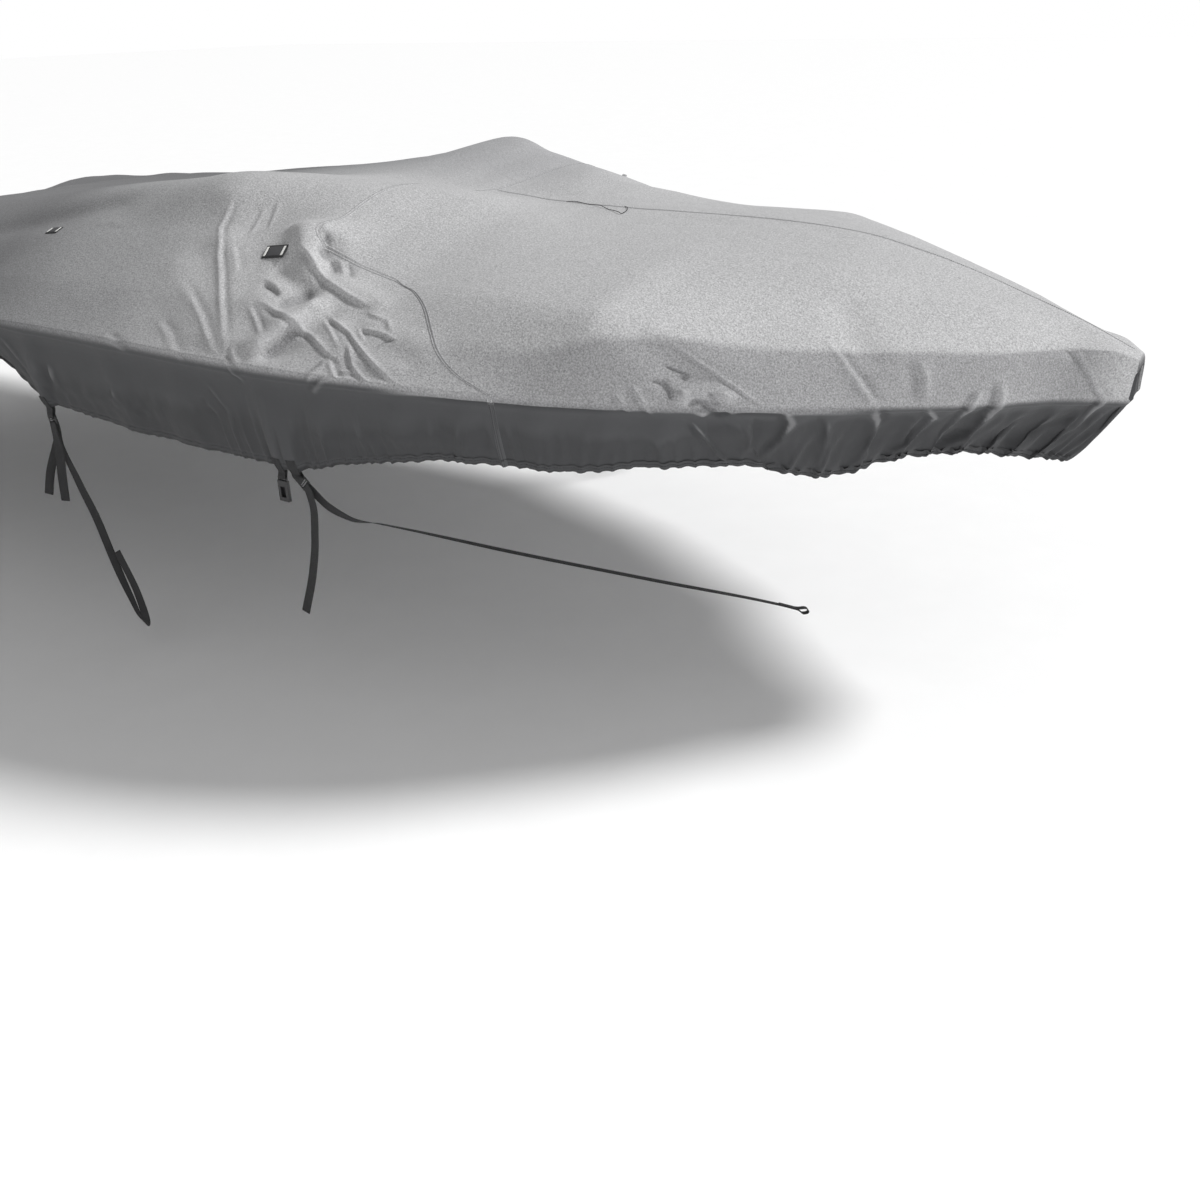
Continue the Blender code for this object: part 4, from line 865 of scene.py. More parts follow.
def endSheet(edge, corners, isBow):  # rows of an end, from the cloth's last cross line to its hem
    share = edge[:, 1] / float(np.abs(edge[:, 1]).max())
    foot = np.zeros_like(edge)
    for way in (-1, 1):
        half = share * way >= 0
        foot[half] = corners[way]
        foot[half, 1] = abs(corners[way][1]) * share[half]
    foot[:, 0] += (nose if isBow else transom)["foot"] * (1 - share ** 2)
    rows = []
    for down in skirtDowns:
        stand = float(smooth(np.array([down]), skirtTable["down"], skirtTable["out"])[0])
        row = edge * (1 - down) + foot * down
        if isBow:
            z = row[:, 2]
            reach = np.clip(-z / -foot[:, 2], 0.0, 1.0)
            lift = nose["stand"] * np.clip(z / nose["standUp"], 0, 1) * down
            wave = nose["wave"] * np.sin(share * nose["waves"]) * ease(down / nose["grown"])
            row[:, 0] = -drape["stemRake"] * reach + lift + stand + wave
        else:
            shift = transom["shift"] * np.sin(share * transom["shifts"])
            grown = ease((down - transom["from"]) / transom["grown"])
            row[:, 0] -= stand + transom["stand"] * math.sin(math.pi * down)
            row[:, 0] += transom["wave"] * np.sin(share * transom["waves"] + shift) * grown
        rows.append(row)
    return rows


# The skirt's shade: where it starts, where it is full below the rail's ledge, and where that ledge runs.
railShade = {"early": (-0.01, 0.10), "late": (0.085, 0.045), "ledge": (0.45, 1.50), "fade": 0.15,
             "earlyShare": 0.45}


def rising(x, start, reach):
    return ease((x - start) / reach)


def underRailAt(down, aft):          # how far the cloth is in the dark below the rub rail
    early, late = rising(down, *railShade["early"]), rising(down, *railShade["late"])
    low, high = railShade["ledge"]
    rail = rising(aft, low, railShade["fade"]) * ease((high - aft) / railShade["fade"])
    share = railShade["earlyShare"]
    return early * (1 - rail) + (share * early + (1 - share) * late) * rail


# Painted shade in the crease troughs and a painted highlight on their ridges: heights where it starts and is
# full; pleats at the bow show the most. The hem and its edge are painted darker.
creaseShadeLook = {"ridge": 0.0012, "trough": 0.0006, "full": 0.0050, "bowLess": 0.0024, "bowDown": 0.05,
            "bowUntil": 0.95, "bowFade": 0.20, "troughShare": 0.72, "pleatShare": 0.15,
            "hem": (0.905, 0.02), "hemDark": 0.45, "edge": (0.955, 0.02), "edgeDark": 1.55}
facetShadeLook = {"from": 0.538, "further": 0.115, "back": (0.80, 0.40), "width": 0.034, "tip": 0.12,
             "fade": 0.60, "fadeBack": (0.95, 0.50)}


# painted shade in crease troughs, a painted highlight on ridges; darker at the hem and its edge
def creaseShadeAt(height, down, aft):
    bow = ease(down / creaseShadeLook["bowDown"]) * ease((creaseShadeLook["bowUntil"] - aft) / creaseShadeLook["bowFade"])
    full = creaseShadeLook["full"] - creaseShadeLook["bowLess"] * bow
    ridge = np.clip((height - creaseShadeLook["ridge"]) / full, 0, 1)
    trough = np.clip(-(height + creaseShadeLook["trough"]) / (creaseShadeLook["troughShare"] * full), 0, 1)
    hem, edge = rising(down, *creaseShadeLook["hem"]), rising(down, *creaseShadeLook["edge"])
    return (ridge - trough) * (1 - hem) - creaseShadeLook["hemDark"] * hem - creaseShadeLook["edgeDark"] * edge


def facetShadeAt(across, aft):            # painted shade on the steep cloth between shoulder and rub rail
    start = facetShadeLook["from"] + facetShadeLook["further"] * rising(aft, *facetShadeLook["back"])
    facet = rising(np.abs(across), start, facetShadeLook["width"]) * ease(aft / facetShadeLook["tip"])
    return facet * (1.0 - facetShadeLook["fade"] * rising(aft, *facetShadeLook["fadeBack"]))


def nearest(places, at):
    return int(np.argmin(np.abs(places - at)))


def buildPanels():
    rub = drape["rubV"]
    lines, columns = stations(grids["lines"]), columnPlaces()
    across = np.tile(columns, len(lines))
    points, normal, aft, down, height = clothPoints(np.repeat(lines, len(columns)), across)
    shape = (len(lines), len(columns))
    print("cloth grid", shape)
    # the pleats add to the painted crease shade and highlight
    for side, low in lowSides(across, down):
        height[low] += creaseShadeLook["pleatShare"] * pleatHeight(aft[low], down[low], side)
    points, normal = points.reshape(*shape, 3), normal.reshape(*shape, 3)
    starboardTurn = turnedRows(points[:, 0], points[:, 1], normal[:, 0])
    portTurn = turnedRows(points[:, -1], points[:, -2], normal[:, -1])
    points = np.concatenate([np.stack(starboardTurn[::-1], 1), points, np.stack(portTurn, 1)], 1)
    extra = len(starboardTurn)
    past = hemTurn["step"] * np.arange(1, extra + 1)
    columns = np.concatenate([columns[0] - past[::-1], columns, columns[-1] + past])
    # painted shade below the rail, on the creases and on the steep side, and a painted highlight on crease
    # ridges
    fields = (aft, underRailAt(down, aft), creaseShadeAt(height, down, aft), facetShadeAt(across, aft))
    afts, shades, creaseShades, facetShades = (np.pad(x.reshape(shape), ((0, 0), (extra, extra)), "edge") for x in fields)
    looks = np.stack(np.broadcast_arrays(afts, spread(columns)[None, :], shades, creaseShades, facetShades), 2)
    shape = points.shape[:2]
    middle, left, right = (nearest(columns, at) for at in (0.0, -rub, rub))
    seamI, turnI = nearest(lines, drape["seamAft"]), nearest(lines, drape["seamTurn"])
    ends = {}
    for name, i, isBow in (("nose", 0, True), ("transom", -1, False)):
        rows = endSheet(points[i, left:right + 1], {-1: points[i, extra], 1: points[i, -1 - extra]}, isBow)
        facing = np.cross(rows[-1] - rows[-2], np.gradient(rows[-1], axis=0)) * (1.0 if isBow else -1.0)
        ends[name] = rows + turnedRows(rows[-1], rows[-2], units(facing))

    def piece(node, inPanel, end):
        index, made, madeLooks, faces = {}, [], [], []
        isNose, width = end == "nose", right - left
        last = 0 if isNose else shape[0] - 1
        sideColumns = {0: list(range(left, -1, -1)), width: list(range(right, shape[1]))}

        def vertex(key, point, look):
            if key not in index:
                index[key] = len(made)
                made.append(point)
                madeLooks.append(look)
            return index[key]

        def gridVertex(i, j):
            return vertex((i, j), points[i, j], looks[i, j])

        def endVertex(k, j):
            if j in sideColumns:
                return gridVertex(last, sideColumns[j][k])
            if k == 0:
                return gridVertex(last, left + j)
            d = min(1.0, k / len(skirtDowns))
            u, v = looks[last, left + j, :2]
            shade = float(underRailAt(d, 0.0 if isNose else drape["length"]))
            # the ends take the full painted shade of the steep side
            return vertex((end, k, j), ends[end][k - 1][j], (u + d * (1 - rub), v, shade, 0.0, 1.0))

        for i in range(shape[0] - 1):
            for j in range(shape[1] - 1):
                if inPanel(i, j):
                    faces.append((gridVertex(i, j), gridVertex(i, j + 1),
                                  gridVertex(i + 1, j + 1), gridVertex(i + 1, j)))
        for k in range(len(ends[end])):
            for j in range(width):
                if isNose and not inPanel(0, left + j):
                    continue
                face = (endVertex(k, j), endVertex(k, j + 1), endVertex(k + 1, j + 1), endVertex(k + 1, j))
                faces.append(face[::-1] if isNose else face)
        table = np.array(madeLooks)
        return makeMesh(camel(node), placed(made), faces, clothFinish, uv=table[:, :2],
                        extras={"underRail": table[:, 2], "crease": table[:, 3], "facet": table[:, 4]})

    def isFore(i, j):
        column = (columns[j] + columns[j + 1]) / 2
        return i < (seamI if abs(column) < drape["shoulderV"] else turnI)

    parts = (("fore_panel_starboard", lambda i, j: isFore(i, j) and j < middle, "nose"),
             ("fore_panel_port", lambda i, j: isFore(i, j) and j >= middle, "nose"),
             ("aft_panel", lambda i, j: not isFore(i, j), "transom"))
    return {node: piece(node, inPanel, end) for node, inPanel, end in parts}


panels = buildPanels()
for node, thing in panels.items():
    print(node, len(thing.data.polygons) * 2, "triangles")


seams = {"half": 0.0070, "rise": 0.0009, "stitchAside": 0.0042, "stitchRise": 0.85, "step": 0.006,
         "corner": 0.03, "worn": 0.10, "shade": (0.776, 0.01), "facet": 0.8, "topUntil": 0.765,
         "hemRow": 0.935, "hemLift": 0.0002,
         "hemRun": (0.02, 5.38, 0.004), "cornerSteps": 7}
seamThread = {"pitch": 0.0055, "length": 0.0038, "thickness": 0.00042}
hemThread = {"pitch": 0.0065, "length": 0.0038, "thickness": 0.00042}
seamProfile = ((-1.0, -0.40), (-0.90, 0.5), (-0.75, 1.0), (-0.20, 0.9), (0.0, -0.9), (0.20, 0.6),
               (0.75, 0.6), (0.90, 0.2), (1.0, -0.40))


def unspread(metres):
    size = np.abs(metres)
    bend = drape["metresPerV"] * drape["rubV"]
    return np.sign(metres) * (np.minimum(size, bend) / drape["metresPerV"]
                              + np.maximum(size - bend, 0) / drape["skirtMetres"])


def seamPath(corners):               # corners as (cross line, across); rounded, evenly stepped
    points = np.array([(line, float(spread(np.array(across)))) for line, across in corners])
    path = [points[0]]
    for before, corner, after in zip(points[:-2], points[1:-1], points[2:]):
        a, b = (corner + units(end - corner) * seams["corner"] for end in (before, after))
        turn = np.linspace(0, 1, seams["cornerSteps"])
        path += [a * (1 - t) ** 2 + corner * 2 * t * (1 - t) + b * t * t for t in turn]
    path = np.array(path + [points[-1]])
    length = runAlong(path)
    at = np.linspace(0, length[-1], int(length[-1] / seams["step"]) + 1)
    return np.stack([np.interp(at, length, path[:, k]) for k in (0, 1)], 1)


def besidePath(path, aside):
    ahead = units(np.gradient(path, axis=0))
    moved = path + np.stack([-ahead[:, 1], ahead[:, 0]], 1) * aside
    return moved[:, 0], unspread(moved[:, 1])


def ribbonFaces(rows, columns):
    faces = []
    for i in range(rows - 1):
        for j in range(columns - 1):
            a = i * columns + j
            faces.append((a, a + 1, a + columns + 1, a + columns))
    return faces


def faceOut(thing, normals):         # turns the mesh over if most faces point in; every seventh is asked
    mesh = thing.data
    facing = sum(mesh.polygons[i].normal.dot(Vector(normals[mesh.polygons[i].vertices[0]]))
                 for i in range(0, len(mesh.polygons), 7))
    if facing < 0:
        mesh.flip_normals()
    return thing


def seamStrip(name, corners):
    path, count = seamPath(corners), len(seamProfile)
    rows, facing = [], []
    for aside, lift in seamProfile:
        line, across = besidePath(path, aside * seams["half"])
        points, normal = clothPoints(line, across, lift * seams["rise"])[:2]
        rows.append(placed(points))
        facing.append(normal)
    grid = np.stack(rows, 1).reshape(-1, 3)
    uv = [(i * seams["step"], side * seams["half"]) for i in range(len(path)) for side, lift in seamProfile]
    away = np.abs(besidePath(path, 0)[1])
    facet = rising(away, facetShadeLook["from"], facetShadeLook["width"]) * seams["facet"]
    # painted shade below the rub rail and on the steep side, and a faint painted highlight along the strip
    extras = {"underRail": np.repeat(rising(away, *seams["shade"]), count),
              "crease": np.full(len(grid), seams["worn"]), "facet": np.repeat(facet, count)}
    strip = makeMesh(name, grid, ribbonFaces(len(path), count), clothFinish, uv=uv, extras=extras)
    return faceOut(strip, np.stack(facing, 1).reshape(-1, 3)), path


def stitchTree(material):
    tree = bpy.data.node_groups.new("stitches", "GeometryNodeTree")
    tree.interface.new_socket("Geometry", in_out="INPUT", socket_type="NodeSocketGeometry")
    tree.interface.new_socket("Geometry", in_out="OUTPUT", socket_type="NodeSocketGeometry")
    for key, value in seamThread.items():
        socket = tree.interface.new_socket(key, in_out="INPUT", socket_type="NodeSocketFloat")
        socket.default_value = value
    source, sink = addNode(tree, "NodeGroupInput"), addNode(tree, "NodeGroupOutput")
    curve = addNode(tree, "GeometryNodeMeshToCurve")
    spaced = addNode(tree, "GeometryNodeResampleCurve")
    spaced.mode = "LENGTH"
    bar = addNode(tree, "GeometryNodeMeshCylinder", in_Vertices=5)
    tangent = addNode(tree, "GeometryNodeInputTangent")
    turn = addNode(tree, "FunctionNodeAlignRotationToVector", axis="Z")
    lay = addNode(tree, "GeometryNodeInstanceOnPoints")
    real = addNode(tree, "GeometryNodeRealizeInstances")
    coloured = addNode(tree, "GeometryNodeSetMaterial", in_Material=material)
    for start, output, end, socket in (
            (source, "Geometry", curve, "Mesh"), (curve, "Curve", spaced, "Curve"),
            (source, "pitch", spaced, "Length"), (source, "thickness", bar, "Radius"),
            (source, "length", bar, "Depth"), (tangent, 0, turn, "Vector"), (spaced, 0, lay, "Points"),
            (bar, "Mesh", lay, "Instance"), (turn, 0, lay, "Rotation"), (lay, 0, real, 0),
            (real, 0, coloured, "Geometry"), (coloured, 0, sink, "Geometry")):
        tree.links.new(start.outputs[output], end.inputs[socket])
    return tree


def stitchRow(name, points, material, sizes):
    mesh = bpy.data.meshes.new(name)
    mesh.from_pydata([tuple(p) for p in points], [(i, i + 1) for i in range(len(points) - 1)], [])
    thing = addObject(name, mesh)
    modifier = thing.modifiers.new("stitches", "NODES")
    modifier.node_group = stitchTree(material)
    sockets = {item.name: item.identifier for item in modifier.node_group.interface.items_tree
               if item.in_out == "INPUT"}
    for key, value in sizes.items():
        modifier[sockets[key]] = value
    made = bpy.data.meshes.new_from_object(thing.evaluated_get(bpy.context.evaluated_depsgraph_get()))
    thing.modifiers.remove(modifier)
    thing.data = made
    made.materials.clear()
    made.materials.append(material)
    made.polygons.foreach_set("material_index", [0] * len(made.polygons))
    return thing


def joined(name, things):
    work = bmesh.new()
    for thing in things:
        work.from_mesh(thing.data)
    mesh = bpy.data.meshes.new(name)
    work.to_mesh(mesh)
    work.free()
    mesh.materials.append(things[0].data.materials[0])
    for thing in things:
        bpy.data.objects.remove(thing)
    return addObject(name, mesh)


seamCorners = {
    "centreSeam": ((0.02, 0.0), (1.885, 0.0)),
    "crossSeamStarboard": ((1.90, 0.0), (1.90, -0.555), (1.63, -0.555), (1.63, -0.998)),
    "crossSeamPort": ((1.90, 0.0), (1.90, 0.555), (1.63, 0.555), (1.63, 0.998)),
}
seamPieces, seamStitches, shadedStitches = [], [], []
for name, corners in seamCorners.items():
    strip, path = seamStrip(name, corners)
    seamPieces.append(strip)
    for side in (-1, 1):
        line, across = besidePath(path, side * seams["stitchAside"])
        points = placed(clothPoints(line, across, seams["rise"] * seams["stitchRise"])[0])
        # below the rub rail the seam stitches take the dark thread: painted shade, as on the skirt
        onTop = np.abs(across) < seams["topUntil"]
        for chosen, rows, thread in ((onTop, seamStitches, greyThread), (~onTop, shadedStitches, darkThread)):
            if chosen.sum() > 2:
                rows.append(stitchRow(name + "Row", points[chosen], thread, seamThread))
seamStitches = joined("seamStitches", seamStitches)
# the hem stitches take the dark thread too: painted shade on the skirt
hemAcross = drape["rubV"] + (1 - drape["rubV"]) * seams["hemRow"]
for side in (-1, 1):
    line = np.arange(*seams["hemRun"])
    points = placed(clothPoints(line, np.full(len(line), side * hemAcross), seams["hemLift"])[0])
    shadedStitches.append(stitchRow("hemRow", points, darkThread, hemThread))
hemStitches = joined("hemStitches", shadedStitches)
print("seams and stitches", len(seamStitches.data.polygons), len(hemStitches.data.polygons))


webbing = {"wide": 0.025, "thick": 0.0016, "endShare": 0.94, "bandStep": 0.004, "tabStep": 0.0022,
           "flatLeast": 0.2, "acrossMost": 0.9}
edgeProfile = ((-1.0, -0.35), (-1.0, 0.35), (-0.955, 1.0), (-0.45, 1.0), (0.45, 1.0), (0.955, 1.0),
               (1.0, 0.35), (1.0, -0.35), (0.955, -1.0), (0.45, -1.0), (-0.45, -1.0), (-0.955, -1.0))
halfTurn = np.radians(np.linspace(0, 180, 9))


def flatBand(name, rows, step):      # webbing with rounded edges, from rows of left and right edge points
    rows = np.asarray(rows, float)
    length = runAlong(rows.mean(1))
    at = np.linspace(0, length[-1], max(3, int(length[-1] / step)))
    left, right = (np.stack([smooth(at, length, rows[:, side, k]) for k in range(3)], 1) for side in (0, 1))
    centre = (left + right) / 2
    ahead = np.gradient(centre, axis=0)
    half = np.linalg.norm(rows[:, 1] - rows[:, 0], axis=1).mean() / 2
    points, uvs = [], []
    for i in range(len(at)):
        side = units(right[i] - left[i])
        face = units(np.cross(units(ahead[i]), side))
        taper = webbing["endShare"] if i in (0, len(at) - 1) else 1.0
        for a, b in edgeProfile:
            points.append(centre[i] + side * a * half * taper + face * b * webbing["thick"] / 2 * taper)
            uvs.append((at[i], a * half))
    faces = tubeFaces(len(at), len(edgeProfile))
    thing = makeMesh(name, placed(points), faces, webbingFinish, uv=uvs)
    middle = Vector(placed(centre)[len(at) // 2])
    face = min(list(thing.data.polygons)[:-2], key=lambda f: (f.center - middle).length)
    return facedOut(thing, face, face.center - middle), float(length[-1])


# Bars that the tabs hold: the middle of each bar in the tables' frame, its side, its lean in
# degrees, and how far aft its tab is sewn.
bars = {
    "starboard_fore": ((-1.7334, -1.1098, -0.1603), -1, 47.0, 1.752),
    "starboard_buckle": ((-1.7944, -1.1142, -0.1616), -1, 0.0, 1.796),
    "starboard_aft": ((-2.6600, -1.1369, -0.1223), -1, 8.0, 2.664),
    "port_fore": ((-1.7654, 1.1090, -0.1690), 1, 0.0, 1.765),
    "port_aft": ((-2.6553, 1.1308, -0.1241), 1, 0.0, 2.655),
}


class Hanger:
    def __init__(self, place, side, lean, aft):
        lean = math.radians(lean)
        self.bar, self.side, self.aft = np.array(place), side, aft
        self.out = np.array([0.0, float(side), 0.0])
        self.down = np.array([math.sin(lean), 0.0, -math.cos(lean)])
        self.across = np.cross(self.down, self.out)
        if self.across[0] < 0:
            self.across = -self.across

    def at(self, out, down, across=0.0):
        return self.bar + self.out * out + self.down * down + self.across * across


hangers = {name: Hanger(*row) for name, row in bars.items()}
tabs = {"seats": (0.970, 0.985, 0.996), "outside": 0.0018, "inside": -0.0078, "pastHem": 0.014,
        "reach": 0.0036}


def onCloth(aft, across, lift):
    aft, across, lift = (np.array(x, float) for x in np.broadcast_arrays(aft, across, lift))
    return clothPoints(lineThrough(aft, split(across)[0]), across, lift)[0]


def tabBand(name, hanger):
    half = webbing["wide"] / 2
    front, back = [], []
    for seat in tabs["seats"]:
        for rows, lift in ((front, tabs["outside"]), (back, tabs["inside"])):
            rows.append(list(onCloth((hanger.aft + half, hanger.aft - half), hanger.side * seat, lift)))
    for rows in (front, back):
        rows.append([edge + units(edge - above) * tabs["pastHem"] for above, edge in zip(rows[-2], rows[-1])])
    loop = []
    for angle in halfTurn:
        out, down = tabs["reach"] * math.cos(angle), tabs["reach"] * math.sin(angle)
        loop.append([hanger.at(out, down, -half), hanger.at(out, down, half)])
    return flatBand(name, front + loop + back[::-1], webbing["tabStep"])


tabPieces = {"tab_" + name: tabBand(camel("tab_" + name), hanger) for name, hanger in hangers.items()}

# Straps from where they leave the adjuster: aft, y, z in the tables' frame, and the turn of
# the flat face in degrees.
strapPaths = {
    "tail_starboard_fore": ((1.697, -1.118, -0.235, 0.0), (1.704, -1.121, -0.310, 0.0),
                            (1.732, -1.117, -0.410, 2.0), (1.786, -1.110, -0.540, 6.0)),
    "run_starboard_fore": ((1.660, -1.100, -0.222, 6.0), (1.600, -1.094, -0.243, 30.0),
                           (1.540, -1.050, -0.262, 62.0), (1.260, -0.855, -0.360, 74.0),
                           (0.980, -0.655, -0.455, 74.0), (0.712, -0.462, -0.545, 70.0),
                           (0.672, -0.440, -0.558, 70.0)),
    "tail_starboard_aft": ((2.668, -1.132, -0.225, 30.0), (2.690, -1.128, -0.310, 40.0),
                           (2.710, -1.122, -0.392, 36.0)),
    "run_starboard_aft": ((2.672, -1.118, -0.225, -2.0), (2.654, -1.104, -0.330, -16.0),
                          (2.617, -1.097, -0.440, -28.0), (2.580, -1.095, -0.573, -30.0),
                          (2.538, -1.096, -0.680, -12.0), (2.505, -1.100, -0.735, 10.0),
                          (2.470, -1.114, -0.742, 24.0), (2.442, -1.128, -0.715, 24.0),
                          (2.458, -1.126, -0.640, 18.0), (2.530, -1.114, -0.520, 12.0)),
    "short_end": ((2.724, -1.104, -0.235, -26.0), (2.782, -1.102, -0.320, -34.0),
                  (2.820, -1.100, -0.398, -36.0)),
}
shortEndSewn = ((-0.0064, -0.004), (-0.0057, 0.003), (-0.0074, 0.018))
tailPort = ((0.000, 0.000, -0.060, 0.0), (0.004, 0.004, -0.170, 4.0), (0.010, 0.000, -0.300, 10.0))
# The sewn eye at the end of the run: ahead and off the webbing's face.
eyeShape = ((0.008, -0.003), (0.018, -0.0065), (0.028, -0.002), (0.030, 0.003), (0.026, 0.008),
            (0.016, 0.0085), (0.006, 0.0045), (-0.004, 0.0024), (-0.020, 0.0021), (-0.050, 0.0021))
# How webbing passes the adjuster's lower bar: its place, the loop round it, and both ends below.
wrap = {"bar": 0.0185, "out": 0.0034, "down": 0.0042, "endOut": 0.0046, "endDown": 0.012, "spine": 0.008,
        "portApart": 0.004}


def pathRows(key):
    return [(np.array([-aft, y, z]), turn) for aft, y, z, turn in strapPaths[key]]


def bandAlong(node, path, hanger, hasEye=False):
    points = np.array([point for point, turn in path])
    turns = np.array([turn for point, turn in path])
    length = runAlong(points)
    at = np.unique(np.concatenate([np.arange(0, length[-1], wrap["spine"]), length]))
    spine = np.stack([smooth(at, length, points[:, k]) for k in range(3)], 1)
    turn = np.radians(smooth(at, length, turns))
    tangent = np.gradient(spine, at, axis=0)
    half = webbing["wide"] / 2
    rows, way = [], None
    for point, ahead, angle in zip(spine, tangent, turn):
        ahead = units(ahead)
        flat = np.cross(ahead, np.array([0.0, 1.0, 0.0]))
        if np.linalg.norm(flat) < webbing["flatLeast"] or abs(ahead[1]) > webbing["acrossMost"]:
            flat = way               # keeps its turn where it runs across
        flat = units(flat - ahead * float(flat @ ahead))
        if way is None:
            way = hanger.across * (1.0 if flat @ hanger.across > 0 else -1.0)
        if flat @ way < 0:
            flat = -flat
        way = flat
        turned = flat * math.cos(angle) + np.cross(ahead, flat) * math.sin(angle)
        rows.append([point - turned * half, point + turned * half])
    if hasEye:
        ahead, side = units(tangent[-1]), units(rows[-1][1] - rows[-1][0])
        face = np.cross(ahead, side)
        if face[2] < 0:
            face = -face
        for along, off in eyeShape:
            point = spine[-1] + ahead * along + face * off
            rows.append([point - side * half, point + side * half])
    return flatBand(camel(node), rows, webbing["bandStep"])


def strapRows(hanger, tail, run):
    tail, run = ([(hanger.at(out, wrap["bar"] + wrap["endDown"]), 0.0)] + rows
                 for rows, out in ((tail, wrap["endOut"]), (run, -wrap["endOut"])))
    loop = [(hanger.at(wrap["out"] * math.cos(a), wrap["bar"] - wrap["down"] * math.sin(a)), 0.0)
            for a in halfTurn]
    return tail[::-1] + loop + run


strapPieces = {}
for name, hasEye in (("starboard_fore", True), ("starboard_aft", False)):
    path = strapRows(hangers[name], pathRows("tail_" + name), pathRows("run_" + name))
    strapPieces["strap_" + name] = bandAlong("strap_" + name, path, hangers[name], hasEye)
for name in ("port_fore", "port_aft"):
    hanger = hangers[name]
    foot, back = (hanger.at(out, wrap["bar"]) for out in (wrap["endOut"], -wrap["endOut"]))
    tail = [(foot + np.array([-a, y, z]), t) for a, y, z, t in tailPort]
    run = [(back + np.array([-a, -y - wrap["portApart"], z]), -t) for a, y, z, t in tailPort]
    strapPieces["strap_" + name] = bandAlong("strap_" + name, strapRows(hanger, tail, run), hanger)
hanger = hangers["starboard_aft"]
sewn = [(hanger.at(out, down), 0.0) for out, down in shortEndSewn]
strapPieces["short_end"] = bandAlong("short_end", sewn + pathRows("short_end"), hanger)
print("webbing made")


fitting = {"wide": 0.033, "bar": 0.0034, "slotHalf": 0.0133, "bevel": 0.0006, "profile": 0.6,
           "flat": 0.01, "sharp": 0.5, "shadeSharp": 0.7}
adjusterCuts = (-0.0017, 0.0017, 0.0075, 0.0105, 0.0165, 0.0207)
buckle = {"wide": 0.032, "deep": 0.010, "wall": 0.0022, "window": 0.62,
          "cuts": (-0.0016, 0.0016, 0.0075, 0.0170, 0.0240, 0.0520, 0.0630)}
# The sides of a cell: which neighbour lies there, and the corners that face it.
cellSides = (
    ((1, 0, 0), ((1, 0, 0), (1, 1, 0), (1, 1, 1), (1, 0, 1))),
    ((-1, 0, 0), ((0, 0, 0), (0, 0, 1), (0, 1, 1), (0, 1, 0))),
    ((0, 1, 0), ((0, 1, 0), (0, 1, 1), (1, 1, 1), (1, 1, 0))),
    ((0, -1, 0), ((0, 0, 0), (1, 0, 0), (1, 0, 1), (0, 0, 1))),
    ((0, 0, 1), ((0, 0, 1), (1, 0, 1), (1, 1, 1), (0, 1, 1))),
    ((0, 0, -1), ((0, 0, 0), (0, 1, 0), (1, 1, 0), (1, 0, 0))),
)


def cellBody(node, hanger, cuts, filled):    # a bevelled body of the filled cells between the cuts
    across, out, down = cuts
    shape = [len(cut) - 1 for cut in cuts]
    index, points, faces = {}, [], []

    def corner(i, j, k):
        if (i, j, k) not in index:
            index[(i, j, k)] = len(points)
            points.append(tuple(placed(hanger.at(out[j], down[k], across[i]))))
        return index[(i, j, k)]

    def solidAt(*cell):
        return all(0 <= c < n for c, n in zip(cell, shape)) and filled(*cell)

    for i, j, k in np.ndindex(*shape):
        if not solidAt(i, j, k):
            continue
        for step, corners in cellSides:
            if not solidAt(i + step[0], j + step[1], k + step[2]):
                faces.append([corner(i + a, j + b, k + c) for a, b, c in corners])
    thing = makeMesh(camel(node), points, faces, plasticFinish)
    work = bmesh.new()
    work.from_mesh(thing.data)
    bmesh.ops.recalc_face_normals(work, faces=work.faces)
    bmesh.ops.dissolve_limit(work, angle_limit=fitting["flat"], verts=work.verts, edges=work.edges)
    sharp = [e for e in work.edges if len(e.link_faces) == 2 and e.calc_face_angle() > fitting["sharp"]]
    bmesh.ops.bevel(work, geom=sharp, offset=fitting["bevel"], segments=2, affect="EDGES",
                    profile=fitting["profile"])
    bmesh.ops.recalc_face_normals(work, faces=work.faces)
    work.to_mesh(thing.data)
    work.free()
    thing.data.set_sharp_from_angle(angle=fitting["shadeSharp"])
    return thing


def adjusterFilled(i, j, k):         # three bars between two side rails
    return i != 1 or k % 2 == 0


def buckleFilled(i, j, k):           # a bar, its rails, a closed row, then the mouth with its window
    isEdge = i in (0, 4)
    if k < 2:
        return j == 2 and (k == 0 or isEdge)
    isWall = isEdge or j in (0, 4)
    return k == 2 or isWall and not (k == 4 and i == 2 and j == 4)


fittingPieces = {}
halfWide, slot, bar = fitting["wide"] / 2, fitting["slotHalf"], fitting["bar"] / 2
for name, hanger in hangers.items():
    if name == "starboard_buckle":
        half, deep, window = buckle["wide"] / 2, buckle["deep"] / 2, slot * buckle["window"]
        mouth = deep - buckle["wall"]
        cuts = ((-half, -slot, -window, window, slot, half), (-deep, -mouth, -bar, bar, mouth, deep),
                buckle["cuts"])
        fittingPieces["buckle_half"] = cellBody("buckle_half", hanger, cuts, buckleFilled)
    else:
        cuts = ((-halfWide, -slot, slot, halfWide), (-bar, bar), adjusterCuts)
        fittingPieces["adjuster_" + name] = cellBody("adjuster_" + name, hanger, cuts, adjusterFilled)
print("fittings made")


patchRows = {                        # aft, v, half sizes along and across the cloth
    "patch_starboard_fore": (1.982, -0.588, 0.036, 0.021),
    "patch_starboard_aft": (2.850, -0.548, 0.024, 0.016),
    "patch_port_fore": (2.020, 0.585, 0.039, 0.023),
    "patch_port_aft": (2.850, 0.548, 0.024, 0.016),
}
patchLook = {"lift": 0.0008, "thick": 0.0018, "barAt": 0.80, "barHalf": 0.10, "barAcross": 0.74,
             "middle": 0.60, "raise": 0.0007, "clear": 0.95, "steps": 8, "grid": (15, 11)}
# A pad's rings: how far in, counted in thicknesses, and how high.
padRings = ((0.0, -0.8), (0.0, 0.4), (0.6, 0.8), (1.5, 1.0))


